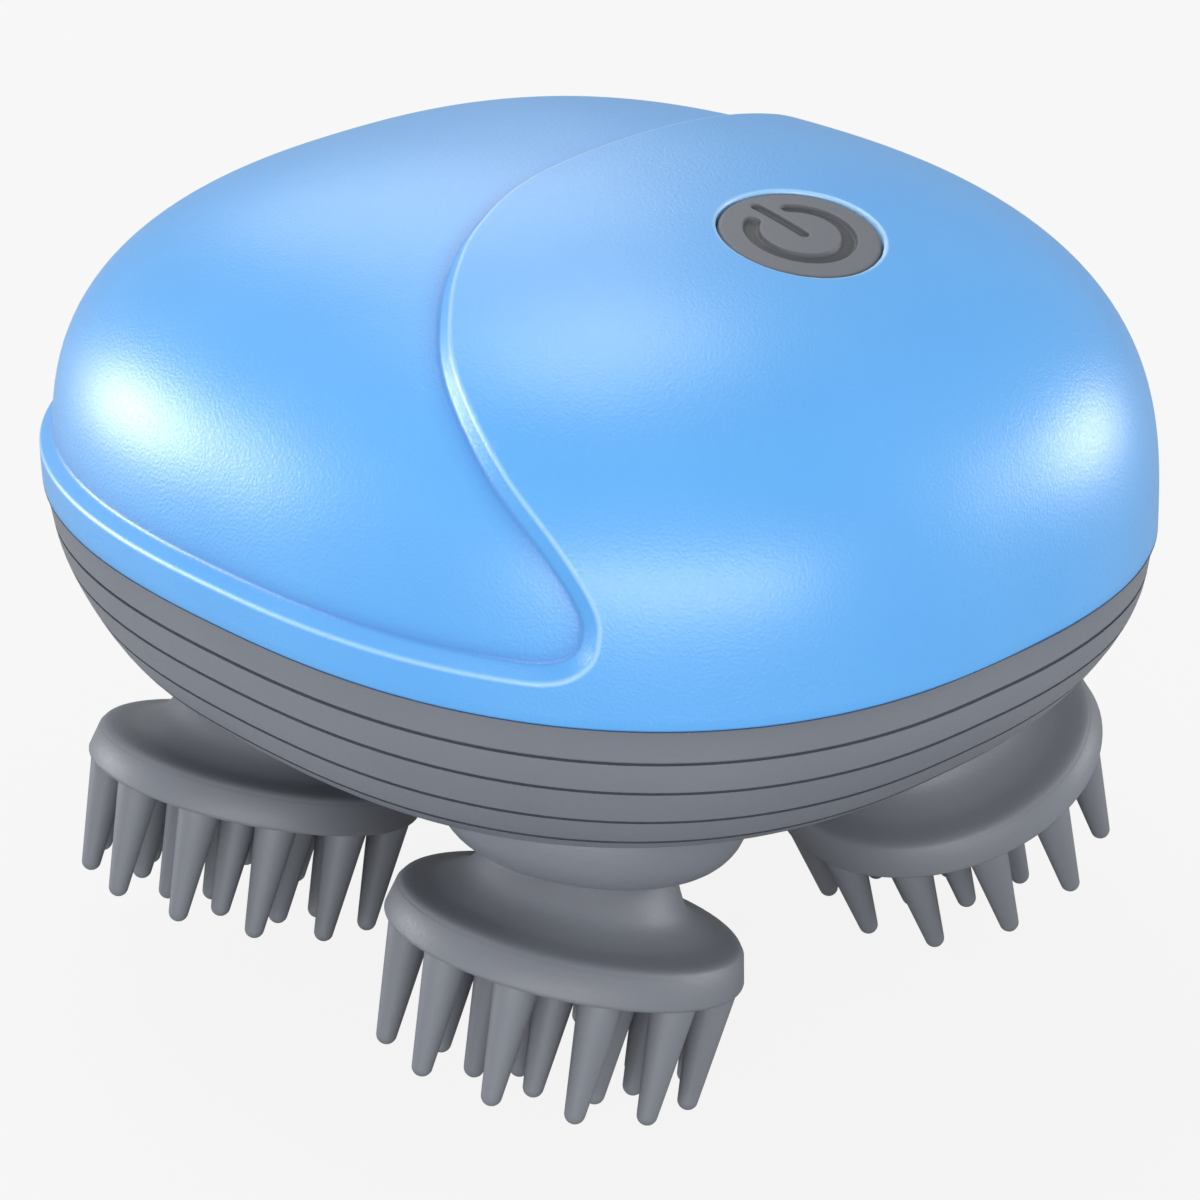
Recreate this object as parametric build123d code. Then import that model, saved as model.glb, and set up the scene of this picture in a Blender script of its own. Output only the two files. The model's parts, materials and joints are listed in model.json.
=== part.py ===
from build123d import *
from math import asin, ceil, copysign, cos, degrees, pi, radians, sin, sqrt, tan
import os

# Electric scalp massager: a palm-sized housing over four tilted, rotating heads with soft teeth.
#
# Frame: the origin lies on the standing surface under the middle of the housing. +X runs along the
# housing towards the power button, -Y is the front, +Z is up. Lengths are in mm, angles in degrees.
#
# A head's own axis leans in over the housing. Places on it are given as "along": the distance up the
# axis from the lower rim of the head.

# ---------------------------------------------------------------- driving dimensions
OVERCUT = 1.0  # how far a cutting tool runs past the face that it opens
OVERLAP = 0.3  # how far joined shapes of one piece run into each other
FAR = 120.0  # beyond the whole massager

# Housing outline and crown
HOUSING_LENGTH = 116.0
HOUSING_WIDTH = 93.0
OUTLINE_POWER = 2.45  # 2 is an ellipse, more is squarer
OUTLINE_POINTS = 32
CROWN_HEIGHT = 36.0
CROWN_SIDE_POWER = 2.8  # how long the sides stay upright
CROWN_TOP_POWER = 2.2  # how flat the top is
CROWN_SHIFT = 4.2  # the top leans towards the button end
CROWN_LEVELS = (0.0, 0.06, 0.15, 0.28, 0.42, 0.56, 0.7, 0.82, 0.91, 0.965, 0.992, 0.999, 0.99995)
COVER_WALL = 2.4
POST_REACH = 1.8  # inner posts end this far below the outer surface, inside the wall

# Recessed panel of the cover. Its edge crosses the top and the rear in plan (x, y), and runs down the
# front in a slanted view from the front and above (x, distance up the view from the parting line).
PANEL_DEPTH = 1.3
PANEL_STRIP = 3.8  # height of the band left under the panel
PANEL_VIEW = 45.0
PANEL_REAR_EDGE = ((5.6, 0.0), (4.9, 12.0), (3.4, 24.0), (-1.0, 36.0), (-7.0, 46.0))
PANEL_FRONT_EDGE = ((5.6, 25.5), (6.6, 17.0), (9.3, 10.2), (12.3, 5.5), (16.4, 0.6), (21.6, -4.4))
PANEL_FRONT_EDGE += ((30.8, -10.7), (37.6, -14.4), (41.4, -17.4), (41.9, -20.0), (41.1, -22.0), (39.2, -23.95))
PANEL_FRONT_EDGE += ((36.0, -25.75),)

# Lower housing: each row is (depth below the parting line, inset at the ends, inset at the sides)
HOUSING_WALL = 2.2
HOUSING_ROWS = ((0.0, 0.0, 0.0), (3.4, 0.85, 0.45), (6.75, 1.9, 0.95), (10.7, 4.4, 2.2))
HOUSING_ROWS += ((14.0, 7.2, 3.8), (16.2, 10.6, 6.0), (17.0, 14.5, 8.8))
GROOVE_ROWS = (1, 2, 3, 4)
GROOVE_WIDTH = 0.4
GROOVE_DEPTH = 0.5
SEAT_DIAMETER = 14.0  # raised round seat in the middle of the underside
SEAT_RISE = 0.6

# Joint between cover and lower housing
TONGUE_WALL = 1.2
TONGUE_HEIGHT = 2.5
TONGUE_ROOT = 3.0
TONGUE_CLEARANCE = 0.15
GASKET_INSET = 0.8
GASKET_WIDTH = 0.8
GASKET_HEIGHT = 0.8
GASKET_CLEARANCE = 0.05

# Heads
HEAD_TILT = 20.0
HEAD_OFFSET = 26.2  # from the middle plane to the centre of a head's lower rim
HEAD_DROP = 33.15  # from the parting line down to the centre of a head's lower rim
HEAD_DIAMETER = 35.0
RIDGE_DIAMETER = 33.8
RIM_HEIGHT = 3.5
RIM_ROUND = 0.5
NECK_DIAMETER = 17.4
NECK_TOP = 12.2
NECK_START = 10.0
FLARE = ((0.8, 0.75), (3.6, 1.4), (5.9, 2.7), (7.2, 4.6))  # (inward, upward) from the ridge
TOOTH_LENGTH = 12.0
TOOTH_ROOT_DIAMETER = 4.3
TOOTH_TIP_DIAMETER = 2.0
TOOTH_SINK = 0.6
TOOTH_RINGS = ((15.1, 12, 0.0), (9.8, 10, -10.0), (5.2, 5, 8.0))  # (radius, teeth, first angle)
CORE_DISC_DIAMETER = 25.0
CORE_DISC_THICKNESS = 1.9
CORE_FLOOR = 1.4
CORE_HUB_DIAMETER = 10.5
CORE_HUB_RISE = 0.4  # the hub stands this much above the neck

# Turrets of the lower housing, one over each head
TURRET_ALONG = 9.9
TURRET_DIAMETER = 29.8
TURRET_TILT = 13.0
TURRET_ROUND = 5.2
TURRET_HEIGHT = 14.0
NECK_CLEARANCE = 1.0
NECK_POCKET = 1.0  # room over the hub of a head
BUSH_GAP = 0.4  # between a seal and the bush over it

# Head shafts, their seals and bushes
SHAFT_DIAMETER = 4.0
SHAFT_BASE = 2.4
SEAL_DIAMETER = 12.4
SEAL_THICKNESS = 2.4
SEAL_CLEARANCE = 0.08
RUNNING_CLEARANCE = 0.05
BUSH_DIAMETER = 8.0
BUSH_LENGTH = 7.0
BUSH_FLANGE_DIAMETER = 10.4
BUSH_FLANGE = 0.8
BUSH_WALL = 2.0
DECK_BUSH_DIAMETER = 7.0
DECK_BUSH_LENGTH = 4.0
DECK_BUSH_GAP = 2.8
DECK_BUSH_WALL = 1.6
SHAFT_END_GAP = 0.3

# Gear train
GEAR_MODULE = 1.0
HEAD_GEAR_TEETH = 28
PINION_TEETH = 20
GEAR_WIDTH = 4.0
GEAR_ALONG = 26.5
GEAR_HUB_DIAMETER = 10.0
GEAR_HUB_RISE = 1.0
GEAR_END_GAP = 0.5
GEAR_BACKLASH = 0.34
GEAR_ROOT = 1.3  # depth below the pitch circle, in modules
WORM_MODULE = 0.8
WHEEL_TEETH = 25
WHEEL_WIDTH = 3.0
WORM_PITCH_DIAMETER = 7.0
WORM_TURNS = 6
WORM_BACKLASH = 0.3
WORM_ROOT = 1.25
PRESSURE_ANGLE = 20.0
DRIVE_HUB_DIAMETER = 8.0
DRIVE_PIN_DIAMETER = 3.0
PIN_BOSS_WALL = 1.7
PIN_SEAT = 4.5
PIN_BOSS_FOOT = 2.8  # how far a pin's boss runs on below the pin
WORM_COLLAR = 1.0  # plain length at each end of the worm
WORM_FLANK_STEPS = 4

# Motor
MOTOR_DIAMETER = 15.0
MOTOR_LENGTH = 20.0
MOTOR_CAN_WALL = 0.8
MOTOR_NOSE_DIAMETER = 6.0
MOTOR_NOSE = 1.2
MOTOR_CAP = 2.2
MOTOR_SHAFT_DIAMETER = 2.0
MOTOR_SCREW_SPACING = 10.0
MOTOR_CAP_WALL = 0.4
MOTOR_TAB = (0.6, 2.0, 2.2)
ROTOR_GAP = 0.4
ROTOR_END_GAP = 3.0
ROTOR_SLOTS = 3
ROTOR_SLOT_WIDTH = 1.2
MAGNET_THICKNESS = 1.3
MAGNET_END_GAP = 2.2
MAGNET_SPLIT = 4.8
BRACKET_GAP = 0.7  # between the worm wheels and the walls beside them
BRACKET_WALL = 2.0
BRACKET_SIZE = (16.4, 5.5)  # width, and reach below the worm's axis
BUSH_BRACKET_SIZE = (10.0, 4.0)
WORM_BUSH_WALL = 1.6
MOTOR_CRADLE_WIDTH = 12.0
MOTOR_CRADLE_RISE = 4.0  # above the worm's axis
MOTOR_CRADLE_GAP = 1.5

# Gear deck and the pillars that carry it
DECK_THICKNESS = 2.0
DECK_GAP = 1.0
DECK_LENGTH = 100.0
DECK_WIDTH = 76.0
PILLAR_DIAMETER = 6.0
PILLAR_X = 42.0
PILLAR_Y = 33.0
FLOOR_SINK = 1.0

# Screws: (head diameter, head height, shank diameter, shank length)
DECK_SCREW = (4.2, 1.4, 2.0, 8.0)
COVER_SCREW = (4.6, 1.6, 2.4, 12.0)
BOARD_SCREW = (3.4, 1.1, 1.6, 4.6)
MOTOR_SCREW = (3.0, 1.0, 1.6, 2.6)
SCREW_SLOT = 0.6
SCREW_HOLE_GAP = 0.1  # radial, where a screw passes through freely

# Posts that take the cover screws
COVER_POST_INSET = 16.0  # from the end of the housing
COVER_POST_Y = 8.0
COVER_POST_DIAMETER = 6.0
COVER_POST_GAP = 0.3
COVER_POST_DEPTH = 6.6  # how far a cover post reaches below the parting line
SCREW_BOSS_DIAMETER = 8.4
SCREW_SEAT_DEPTH = 10.0
SCREW_BORE_DIAMETER = 5.4
PLUG_LENGTH = 2.6
PLUG_CLEARANCE = 0.05

# Power button
BUTTON_X = 31.0
BUTTON_DIAMETER = 15.0
BUTTON_GAP = 0.25
BUTTON_SINK = 0.25
BUTTON_TRAVEL = 0.6
BUTTON_FLANGE_DIAMETER = 17.6
BUTTON_FLANGE = 1.0
BUTTON_WALL = 1.2
BUTTON_STEM_DIAMETER = 3.0
COLLAR_DEPTH = 3.8  # from the outer surface down to the stop of the button
COLLAR_DIAMETER = 21.6
COLLAR_SKIRT = 1.8
RETAINER_THICKNESS = 1.0
RETAINER_GAP = 0.05
RETAINER_BORE = 15.0
ORING_WIDTH = 0.8
ORING_GROOVE = 0.75
ORING_RISE = 0.7  # above the button's flange
ORING_SQUEEZE = 0.1
SWITCH_DEPTH = 7.6
SWITCH_SIZE = 6.0
SWITCH_HEIGHT = 3.5
PLUNGER_DIAMETER = 3.2
PLUNGER_RISE = 1.2
PLUNGER_SEAT = 1.0
PLUNGER_GAP = 0.1
SYMBOL_DEPTH = 0.4
SYMBOL_RADIUS = 4.5
SYMBOL_STROKE = 1.5
SYMBOL_BAR_STROKE = 1.1
SYMBOL_OPENING = 62.0
SYMBOL_BAR = (-6.2, 0.9)  # the bar's two ends, along the housing

# Circuit board, in the button's frame
BOARD_LENGTH = 28.0
BOARD_WIDTH = 34.0
BOARD_THICKNESS = 1.2
BOARD_POSTS = ((-10.5, 13.5), (-10.5, -13.5), (11.5, 0.0))
BOARD_POST_DIAMETER = 4.6
# Chips and connectors: (middle along, middle across, length, width, height)
BOARD_CHIPS = ((-1.5, -8.0, 6.0, 6.0, 1.4), (5.5, 6.0, 5.0, 4.0, 1.2), (-8.5, 1.5, 5.0, 9.0, 3.2))
CAPACITOR_PLACE = (4.0, -5.0)
CAPACITOR_SIZE = (4.4, 4.5)

# Battery
CELL_DIAMETER = 14.0
CELL_LENGTH = 49.0
CELL_X = -14.0
CELL_TERMINAL = (5.2, 1.0)
CRADLE_WALL = 1.2
CRADLE_CLEARANCE = 0.15

# Charging socket in the rear wall and its plug
SOCKET_DROP = 4.6  # below the parting line
SOCKET_SIZE = (8.94, 7.3, 3.2)
SOCKET_WALL = 0.3
SOCKET_FLOOR = 0.8
SOCKET_INSET = 0.55  # from the floor of the plug's recess to the socket's mouth
SOCKET_TONGUE = (6.7, 4.4, 0.7)
SOCKET_FIT = 0.06
SOCKET_TUNNEL = 12.0
CHARGE_BOARD = (16.0, 1.0)
CHARGE_BOARD_LEAD = 0.1  # reach of the board into the depth of the wall
RIB_WIDTH = 2.0
PORT_PLATE = (14.0, 6.2)
PORT_PLATE_DEPTH = 1.1
PORT_PLATE_GAP = 0.2
PORT_TONGUE = (8.0, 3.0, 2.3)
PORT_TONGUE_GAP = 0.2
PORT_TONGUE_ROOT = 0.4  # solid length under the plate

# ---------------------------------------------------------------- derived places
half_length = HOUSING_LENGTH / 2
half_width = HOUSING_WIDTH / 2
tip_radius = TOOTH_TIP_DIAMETER / 2
outer_ring = TOOTH_RINGS[0][0]
tilt_sin = sin(radians(HEAD_TILT))
tilt_cos = cos(radians(HEAD_TILT))

rim_z = (TOOTH_LENGTH - tip_radius) * tilt_cos + tip_radius + outer_ring * tilt_sin
parting_z = rim_z + HEAD_DROP
floor_depth = HOUSING_ROWS[-1][0]
floor_z = parting_z - floor_depth + HOUSING_WALL

head_x = GEAR_MODULE * (HEAD_GEAR_TEETH + PINION_TEETH) / 2
wheel_pitch_radius = WORM_MODULE * WHEEL_TEETH / 2
wheel_tip_radius = wheel_pitch_radius + WORM_MODULE
worm_pitch_radius = WORM_PITCH_DIAMETER / 2
worm_distance = wheel_pitch_radius + worm_pitch_radius
worm_z = rim_z + (HEAD_OFFSET * tilt_cos - worm_distance) / tilt_sin
worm_lead = pi * WORM_MODULE
wheel_along = HEAD_OFFSET * tilt_sin + (worm_z - rim_z) * tilt_cos
wheel_top = rim_z + wheel_along * tilt_cos + wheel_tip_radius * tilt_sin + WHEEL_WIDTH / 2 * tilt_cos
deck_z = wheel_top + DECK_GAP
bracket_x = wheel_tip_radius + BRACKET_GAP
motor_x = bracket_x + BRACKET_WALL

pocket_top = NECK_TOP + CORE_HUB_RISE + NECK_POCKET
seal_top = pocket_top + SEAL_THICKNESS
bush_base = seal_top + BUSH_GAP
bush_top = bush_base + BUSH_LENGTH
gear_top = GEAR_ALONG + GEAR_WIDTH
deck_bush_base = gear_top + GEAR_HUB_RISE + DECK_BUSH_GAP
pin_base = GEAR_ALONG - GEAR_END_GAP
pin_top = wheel_along + WHEEL_WIDTH / 2 + GEAR_END_GAP
neck_hole_radius = NECK_DIAMETER / 2 + NECK_CLEARANCE
worm_bush_diameter = MOTOR_SHAFT_DIAMETER + 2 * WORM_BUSH_WALL

# Depths below the crown's surface, on the button's axis
board_top = -SWITCH_DEPTH - SWITCH_HEIGHT
plunger_top = PLUNGER_RISE - SWITCH_DEPTH
oring_low = ORING_RISE - COLLAR_DEPTH

screw_seat_z = parting_z - SCREW_SEAT_DEPTH
deck_top = deck_z + DECK_THICKNESS
cell_z = deck_top + CRADLE_WALL + CRADLE_CLEARANCE + CELL_DIAMETER / 2
charge_board_depth = SOCKET_SIZE[1] - HOUSING_WALL + CHARGE_BOARD_LEAD

SIDES = {"front": -1, "rear": 1}
ENDS = {"left": -1, "right": 1}


# ---------------------------------------------------------------- outline and shells
def outline(half_x, half_y, z, shift=0.0):
    """One closed outline of the housing at a height."""
    points = []
    for number in range(OUTLINE_POINTS):
        angle = 2 * pi * number / OUTLINE_POINTS
        along_x = copysign(abs(cos(angle)) ** (2 / OUTLINE_POWER), cos(angle))
        along_y = copysign(abs(sin(angle)) ** (2 / OUTLINE_POWER), sin(angle))
        points.append((shift + half_x * along_x, half_y * along_y, z))
    return Wire([Spline(points, periodic=True).edge()])


def crown_reach(level):
    """Share of the outline that is left at a level of the crown, from 0 to 1."""
    return (1 - level**CROWN_SIDE_POWER) ** (1 / CROWN_TOP_POWER)


def crown(inset):
    """The crown as a solid, with its surface moved in by the inset."""
    wires = []
    for level in CROWN_LEVELS:
        reach = crown_reach(level)
        z = parting_z + (CROWN_HEIGHT - inset) * level
        shift = CROWN_SHIFT * level**2
        wires.append(outline((half_length - inset) * reach, (half_width - inset) * reach, z, shift))
    return Solid.make_loft(wires)


def crown_z(x, y):
    """Height of the crown's outer surface over a place in plan."""
    low, high = 0.0, 1.0
    for _ in range(40):
        level = (low + high) / 2
        reach = max(crown_reach(level), 1e-6)
        share_x = abs(x - CROWN_SHIFT * level**2) / (half_length * reach)
        share_y = abs(y) / (half_width * reach)
        if share_x**OUTLINE_POWER + share_y**OUTLINE_POWER > 1:
            high = level
        else:
            low = level
    return parting_z + CROWN_HEIGHT * low


def tub(wall):
    """The lower housing's bowl as a solid, with its surface moved in by a wall."""
    wires = []
    for depth, end_inset, side_inset in HOUSING_ROWS:
        half_x = half_length - end_inset - wall
        half_y = half_width - side_inset - wall
        z = parting_z - depth * (floor_depth - wall) / floor_depth
        wires.append(outline(half_x, half_y, z))
    return Solid.make_loft(wires)


def prism(inset, low_z, high_z):
    """The parting outline moved in by the inset, as an upright prism."""
    half_x = half_length - inset
    half_y = half_width - inset
    face = Face(outline(half_x, half_y, low_z))
    return Solid.extrude(face, Vector(0, 0, high_z - low_z))


def band(outer_inset, inner_inset, low_z, high_z):
    """A ring that follows the parting outline."""
    return prism(outer_inset, low_z, high_z) - prism(inner_inset, low_z, high_z)


# ---------------------------------------------------------------- small builders
def rod(radius, low, high, place=Location()):
    """A cylinder from one height to another in the given frame."""
    return place * Pos(0, 0, (low + high) / 2) * Cylinder(radius, high - low)


def tube(outer, inner, low, high, place=Location()):
    """A plain ring from one height to another in the given frame."""
    return rod(outer, low, high, place) - rod(inner, low, high, place)


def cup(radius, low, high, rounding, place):
    """A cylinder with its lower edge rounded, in the given frame."""
    body = rod(radius, low, high)
    return place * fillet(body.edges().sort_by(Axis.Z)[0], rounding)


def block(low_corner, high_corner, place=Location()):
    """A box between two corners in the given frame."""
    size = [high - low for low, high in zip(low_corner, high_corner)]
    middle = [(low + high) / 2 for low, high in zip(low_corner, high_corner)]
    return place * Pos(*middle) * Box(*size)


def rounded_block(width, depth, height, place):
    """A block with its long edges along Y and fully rounded ends, centred on the frame."""
    face = Plane.XZ * SlotOverall(width, height) if width > height else Plane.XZ * Circle(height / 2)
    return place * Pos(0, depth / 2, 0) * extrude(face, depth)


def turned(edges):
    """A solid turned about Z from the edges of its half section, drawn as (radius, height)."""
    return revolve(Rot(90, 0, 0) * make_face(edges), Axis.Z)


def screw(size, place):
    """A pan-head screw that points along -Z, with the underside of its head at the origin."""
    head_diameter, head_height, shank_diameter, shank_length = size
    body = rod(head_diameter / 2, 0, head_height) + rod(shank_diameter / 2, -shank_length, 0)
    slot_depth = head_height / 2
    for turn in (0, 90):
        reach = head_diameter / 3
        low = (-reach, -SCREW_SLOT / 2, head_height - slot_depth)
        high = (reach, SCREW_SLOT / 2, head_height)
        body -= Rot(0, 0, turn) * block(low, high)
    return place * body


def group(pieces):
    """Separate solids that share one file."""
    solids = []
    for piece in pieces:
        solids.extend(piece.solids())
    return Compound(children=solids)


def write(name, piece):
    """Save one piece under its node name."""
    export_step(piece, os.path.join("parts", name + ".step"))


# ---------------------------------------------------------------- frames of the moving pieces
def head_frame(end, side, along=0.0):
    """Frame on a head's axis: +Z up the axis, +X along the housing."""
    rim = Location((end * head_x, side * HEAD_OFFSET, rim_z))
    return rim * Rot(side * HEAD_TILT, 0, 0) * Pos(0, 0, along)


def drive_frame(side, along=0.0):
    """Frame on the axis of the gear that drives the two heads of one side."""
    return head_frame(0, side, along)


def button_frame():
    """Frame on the crown under the button's middle, with +Z out of the surface."""
    step = 0.5
    rise = crown_z(BUTTON_X + step, 0) - crown_z(BUTTON_X - step, 0)
    slope = degrees(asin(rise / sqrt(rise**2 + (2 * step) ** 2)))
    return Location((BUTTON_X, 0, crown_z(BUTTON_X, 0))) * Rot(0, -slope, 0)


worm_frame = Location((0, 0, worm_z)) * Rot(0, 90, 0)
socket_y = half_width - PORT_PLATE_DEPTH - SOCKET_INSET
socket_frame = Location((0, socket_y, parting_z - SOCKET_DROP))
cell_frame = Location((CELL_X, 0, cell_z)) * Rot(90, 0, 0)


# ---------------------------------------------------------------- cover
def panel_region():
    """Everything on the panel's side of its edge, above the band at the parting line."""
    first, last = PANEL_REAR_EDGE[0], PANEL_REAR_EDGE[-1]
    rear_edge = Spline(PANEL_REAR_EDGE, tangents=((0, 1), (-0.5, 1)))
    rear_rest = Polyline(last, (last[0], FAR), (-FAR, FAR), (-FAR, 0), first)
    rear = Pos(0, 0, parting_z) * extrude(make_face([rear_edge, rear_rest]), FAR)

    first, last = PANEL_FRONT_EDGE[0], PANEL_FRONT_EDGE[-1]
    front_edge = Spline(PANEL_FRONT_EDGE, tangents=((0, -1), (-1, -0.6)))
    front_rest = Polyline(last, (last[0], -FAR), (-FAR, -FAR), (-FAR, FAR), (first[0], FAR), first)
    face = Location((0, 0, parting_z)) * Rot(PANEL_VIEW, 0, 0) * make_face([front_edge, front_rest])
    front = extrude(face, FAR, both=True) & block((-FAR, -FAR, parting_z), (FAR, 0, parting_z + FAR))
    return (rear + front) & block((-FAR, -FAR, parting_z + PANEL_STRIP), (FAR, FAR, parting_z + FAR))


def stepped_crown(inset, region):
    """The crown as a solid, lowered by the panel's depth inside the region."""
    outer = crown(inset)
    return outer - ((outer - crown(inset + PANEL_DEPTH)) & region)


def upper_cover():
    """The crown-shaped shell with its recessed panel, screw posts, button collar and board posts."""
    region = panel_region()
    cover = stepped_crown(0, region) - stepped_crown(COVER_WALL, region)
    here = button_frame()
    inner_skin = crown(POST_REACH)

    below = block((-FAR, -FAR, 0), (FAR, FAR, parting_z + TONGUE_HEIGHT))
    for x, y in post_places():
        post = Pos(x, y, 0) * rod(COVER_POST_DIAMETER / 2, parting_z - COVER_POST_DEPTH, crown_z(x, y))
        cover += post & (inner_skin + below)

    collar_low = -COLLAR_DEPTH - COLLAR_SKIRT
    cover += rod(COLLAR_DIAMETER / 2, collar_low, 0, here) & inner_skin
    for x, y in BOARD_POSTS:
        cover += (here * Pos(x, y, 0) * rod(BOARD_POST_DIAMETER / 2, board_top, 0)) & inner_skin

    cover -= rod(BUTTON_DIAMETER / 2 + BUTTON_GAP, -COLLAR_DEPTH, COVER_WALL, here)
    cover -= rod(BUTTON_FLANGE_DIAMETER / 2 + BUTTON_GAP, collar_low, -COLLAR_DEPTH, here)
    pocket_low = collar_low - RETAINER_THICKNESS - OVERCUT
    cover -= rod(COLLAR_DIAMETER / 2 + RETAINER_GAP, pocket_low, collar_low, here)
    for x, y in BOARD_POSTS:
        cover -= here * Pos(x, y, 0) * rod(BOARD_SCREW[2] / 2, board_top - OVERCUT, board_top + BOARD_SCREW[3])
    for x, y in post_places():
        low = parting_z - COVER_POST_DEPTH - OVERCUT
        cover -= Pos(x, y, 0) * rod(COVER_SCREW[2] / 2, low, screw_seat_z + COVER_SCREW[3])
    return cover


# ---------------------------------------------------------------- lower housing
def lower_housing(bowl):
    """The bowl with its grooves, turrets, bearing tubes, pillars and screw bosses."""
    outer = bowl
    cavity = tub(HOUSING_WALL)
    for side in SIDES.values():
        for end in ENDS.values():
            turret = turret_frame(end, side)
            outer = outer + cup(TURRET_DIAMETER / 2, 0, TURRET_HEIGHT, TURRET_ROUND, turret)
            hollow = TURRET_DIAMETER / 2 - HOUSING_WALL
            cavity = cavity + cup(hollow, HOUSING_WALL, TURRET_HEIGHT, TURRET_ROUND - HOUSING_WALL, turret)
    shell = outer - cavity
    seat_z = parting_z - floor_depth
    shell += rod(SEAT_DIAMETER / 2, seat_z - SEAT_RISE, seat_z + HOUSING_WALL / 2)

    tongue_outer = COVER_WALL + TONGUE_CLEARANCE
    tongue_inner = tongue_outer + TONGUE_WALL
    shell += band(HOUSING_WALL - OVERLAP, tongue_inner, parting_z - TONGUE_ROOT, parting_z)
    shell += band(tongue_outer, tongue_inner, parting_z, parting_z + TONGUE_HEIGHT)
    gasket_outer = GASKET_INSET - GASKET_CLEARANCE
    gasket_inner = GASKET_INSET + GASKET_WIDTH + GASKET_CLEARANCE
    shell -= band(gasket_outer, gasket_inner, parting_z - GASKET_HEIGHT, parting_z + OVERCUT)

    low = floor_z - FLOOR_SINK
    for x, y in pillar_places():
        shell += Pos(x, y, 0) * rod(PILLAR_DIAMETER / 2, low, deck_z)
    for x, y in post_places():
        boss_top = parting_z - COVER_POST_DEPTH
        shell += Pos(x, y, 0) * rod(SCREW_BOSS_DIAMETER / 2, low, boss_top) & outer
    for side in SIDES.values():
        boss = DRIVE_PIN_DIAMETER / 2 + PIN_BOSS_WALL
        foot = pin_base - PIN_SEAT - PIN_BOSS_FOOT
        shell += rod(boss, foot, pin_base - GEAR_END_GAP, drive_frame(side))
        for end in ENDS.values():
            here = head_frame(end, side)
            wide = neck_hole_radius + BUSH_WALL
            middle = SEAL_DIAMETER / 2 + BUSH_WALL
            narrow = BUSH_DIAMETER / 2 + BUSH_WALL
            shell += rod(wide, TURRET_ALONG, pocket_top + BUSH_WALL, here) & outer
            shell += rod(middle, pocket_top, seal_top + BUSH_WALL, here)
            shell += rod(narrow, seal_top, bush_top, here)
    board_low = parting_z - SOCKET_DROP - SOCKET_SIZE[2] / 2 - CHARGE_BOARD[1]
    for x in (-CHARGE_BOARD[0] / 2 + RIB_WIDTH, CHARGE_BOARD[0] / 2 - RIB_WIDTH):
        low_corner = (x - RIB_WIDTH / 2, socket_y - SOCKET_SIZE[1], low)
        high_corner = (x + RIB_WIDTH / 2, socket_y - SOCKET_SIZE[1] + charge_board_depth, board_low)
        shell += block(low_corner, high_corner) & outer

    for row in GROOVE_ROWS:
        shell -= groove(row)
    for x, y in pillar_places():
        shell -= Pos(x, y, 0) * rod(DECK_SCREW[2] / 2, deck_z - DECK_SCREW[3], deck_z + OVERCUT)
    for x, y in post_places():
        shell -= Pos(x, y, 0) * rod(SCREW_BORE_DIAMETER / 2, rim_z, screw_seat_z)
        shell -= Pos(x, y, 0) * rod(COVER_SCREW[2] / 2 + SCREW_HOLE_GAP, screw_seat_z, parting_z)
    for side in SIDES.values():
        shell -= rod(DRIVE_PIN_DIAMETER / 2, pin_base - PIN_SEAT, pin_base, drive_frame(side))
        for end in ENDS.values():
            here = head_frame(end, side)
            shell -= rod(neck_hole_radius, 0, pocket_top, here)
            shell -= rod(SEAL_DIAMETER / 2, pocket_top - OVERCUT, seal_top, here)
            shell -= rod(BUSH_DIAMETER / 2, seal_top - OVERCUT, bush_top + OVERCUT, here)
    tunnel = (SOCKET_SIZE[0] + 2 * SOCKET_FIT, SOCKET_TUNNEL, SOCKET_SIZE[2] + 2 * SOCKET_FIT)
    shell -= rounded_block(*tunnel, socket_frame)
    shell -= port_recess(0.0)
    return shell


def port_recess(gap):
    """The recess for the port plug, less a gap all round."""
    reach = PORT_PLATE_DEPTH + OVERCUT
    size = (PORT_PLATE[0] - 2 * gap, 2 * reach, PORT_PLATE[1] - 2 * gap)
    return rounded_block(*size, socket_frame * Pos(0, reach, 0))


def turret_frame(end, side):
    """Frame on the lower face of a turret."""
    middle = head_frame(end, side, TURRET_ALONG).position
    return Location(middle) * Rot(side * TURRET_TILT, 0, 0)


def groove(row):
    """A fine slot round the bowl at one of its rows."""
    depth, end_inset, side_inset = HOUSING_ROWS[row]
    half_x = half_length - end_inset - GROOVE_DEPTH
    half_y = half_width - side_inset - GROOVE_DEPTH
    low_z = parting_z - depth - GROOVE_WIDTH / 2
    up = Vector(0, 0, GROOVE_WIDTH)
    inside = Solid.extrude(Face(outline(half_x, half_y, low_z)), up)
    outside = Solid.extrude(Face(outline(half_length + OVERCUT, half_width + OVERCUT, low_z)), up)
    return outside - inside


def pillar_places():
    """Plan places of the pillars that carry the gear deck."""
    return (-PILLAR_X, 0), (PILLAR_X, 0), (0, -PILLAR_Y), (0, PILLAR_Y)


def post_places():
    """Plan places of the cover's screw posts."""
    reach = half_length - COVER_POST_INSET
    return [(x, y) for x in (-reach, reach) for y in (-COVER_POST_Y, COVER_POST_Y)]


def post_holes(low, high):
    """The room that pieces between cover and housing leave for the cover's screw posts."""
    radius = COVER_POST_DIAMETER / 2 + COVER_POST_GAP
    return [Pos(x, y, 0) * rod(radius, low, high) for x, y in post_places()]


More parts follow.
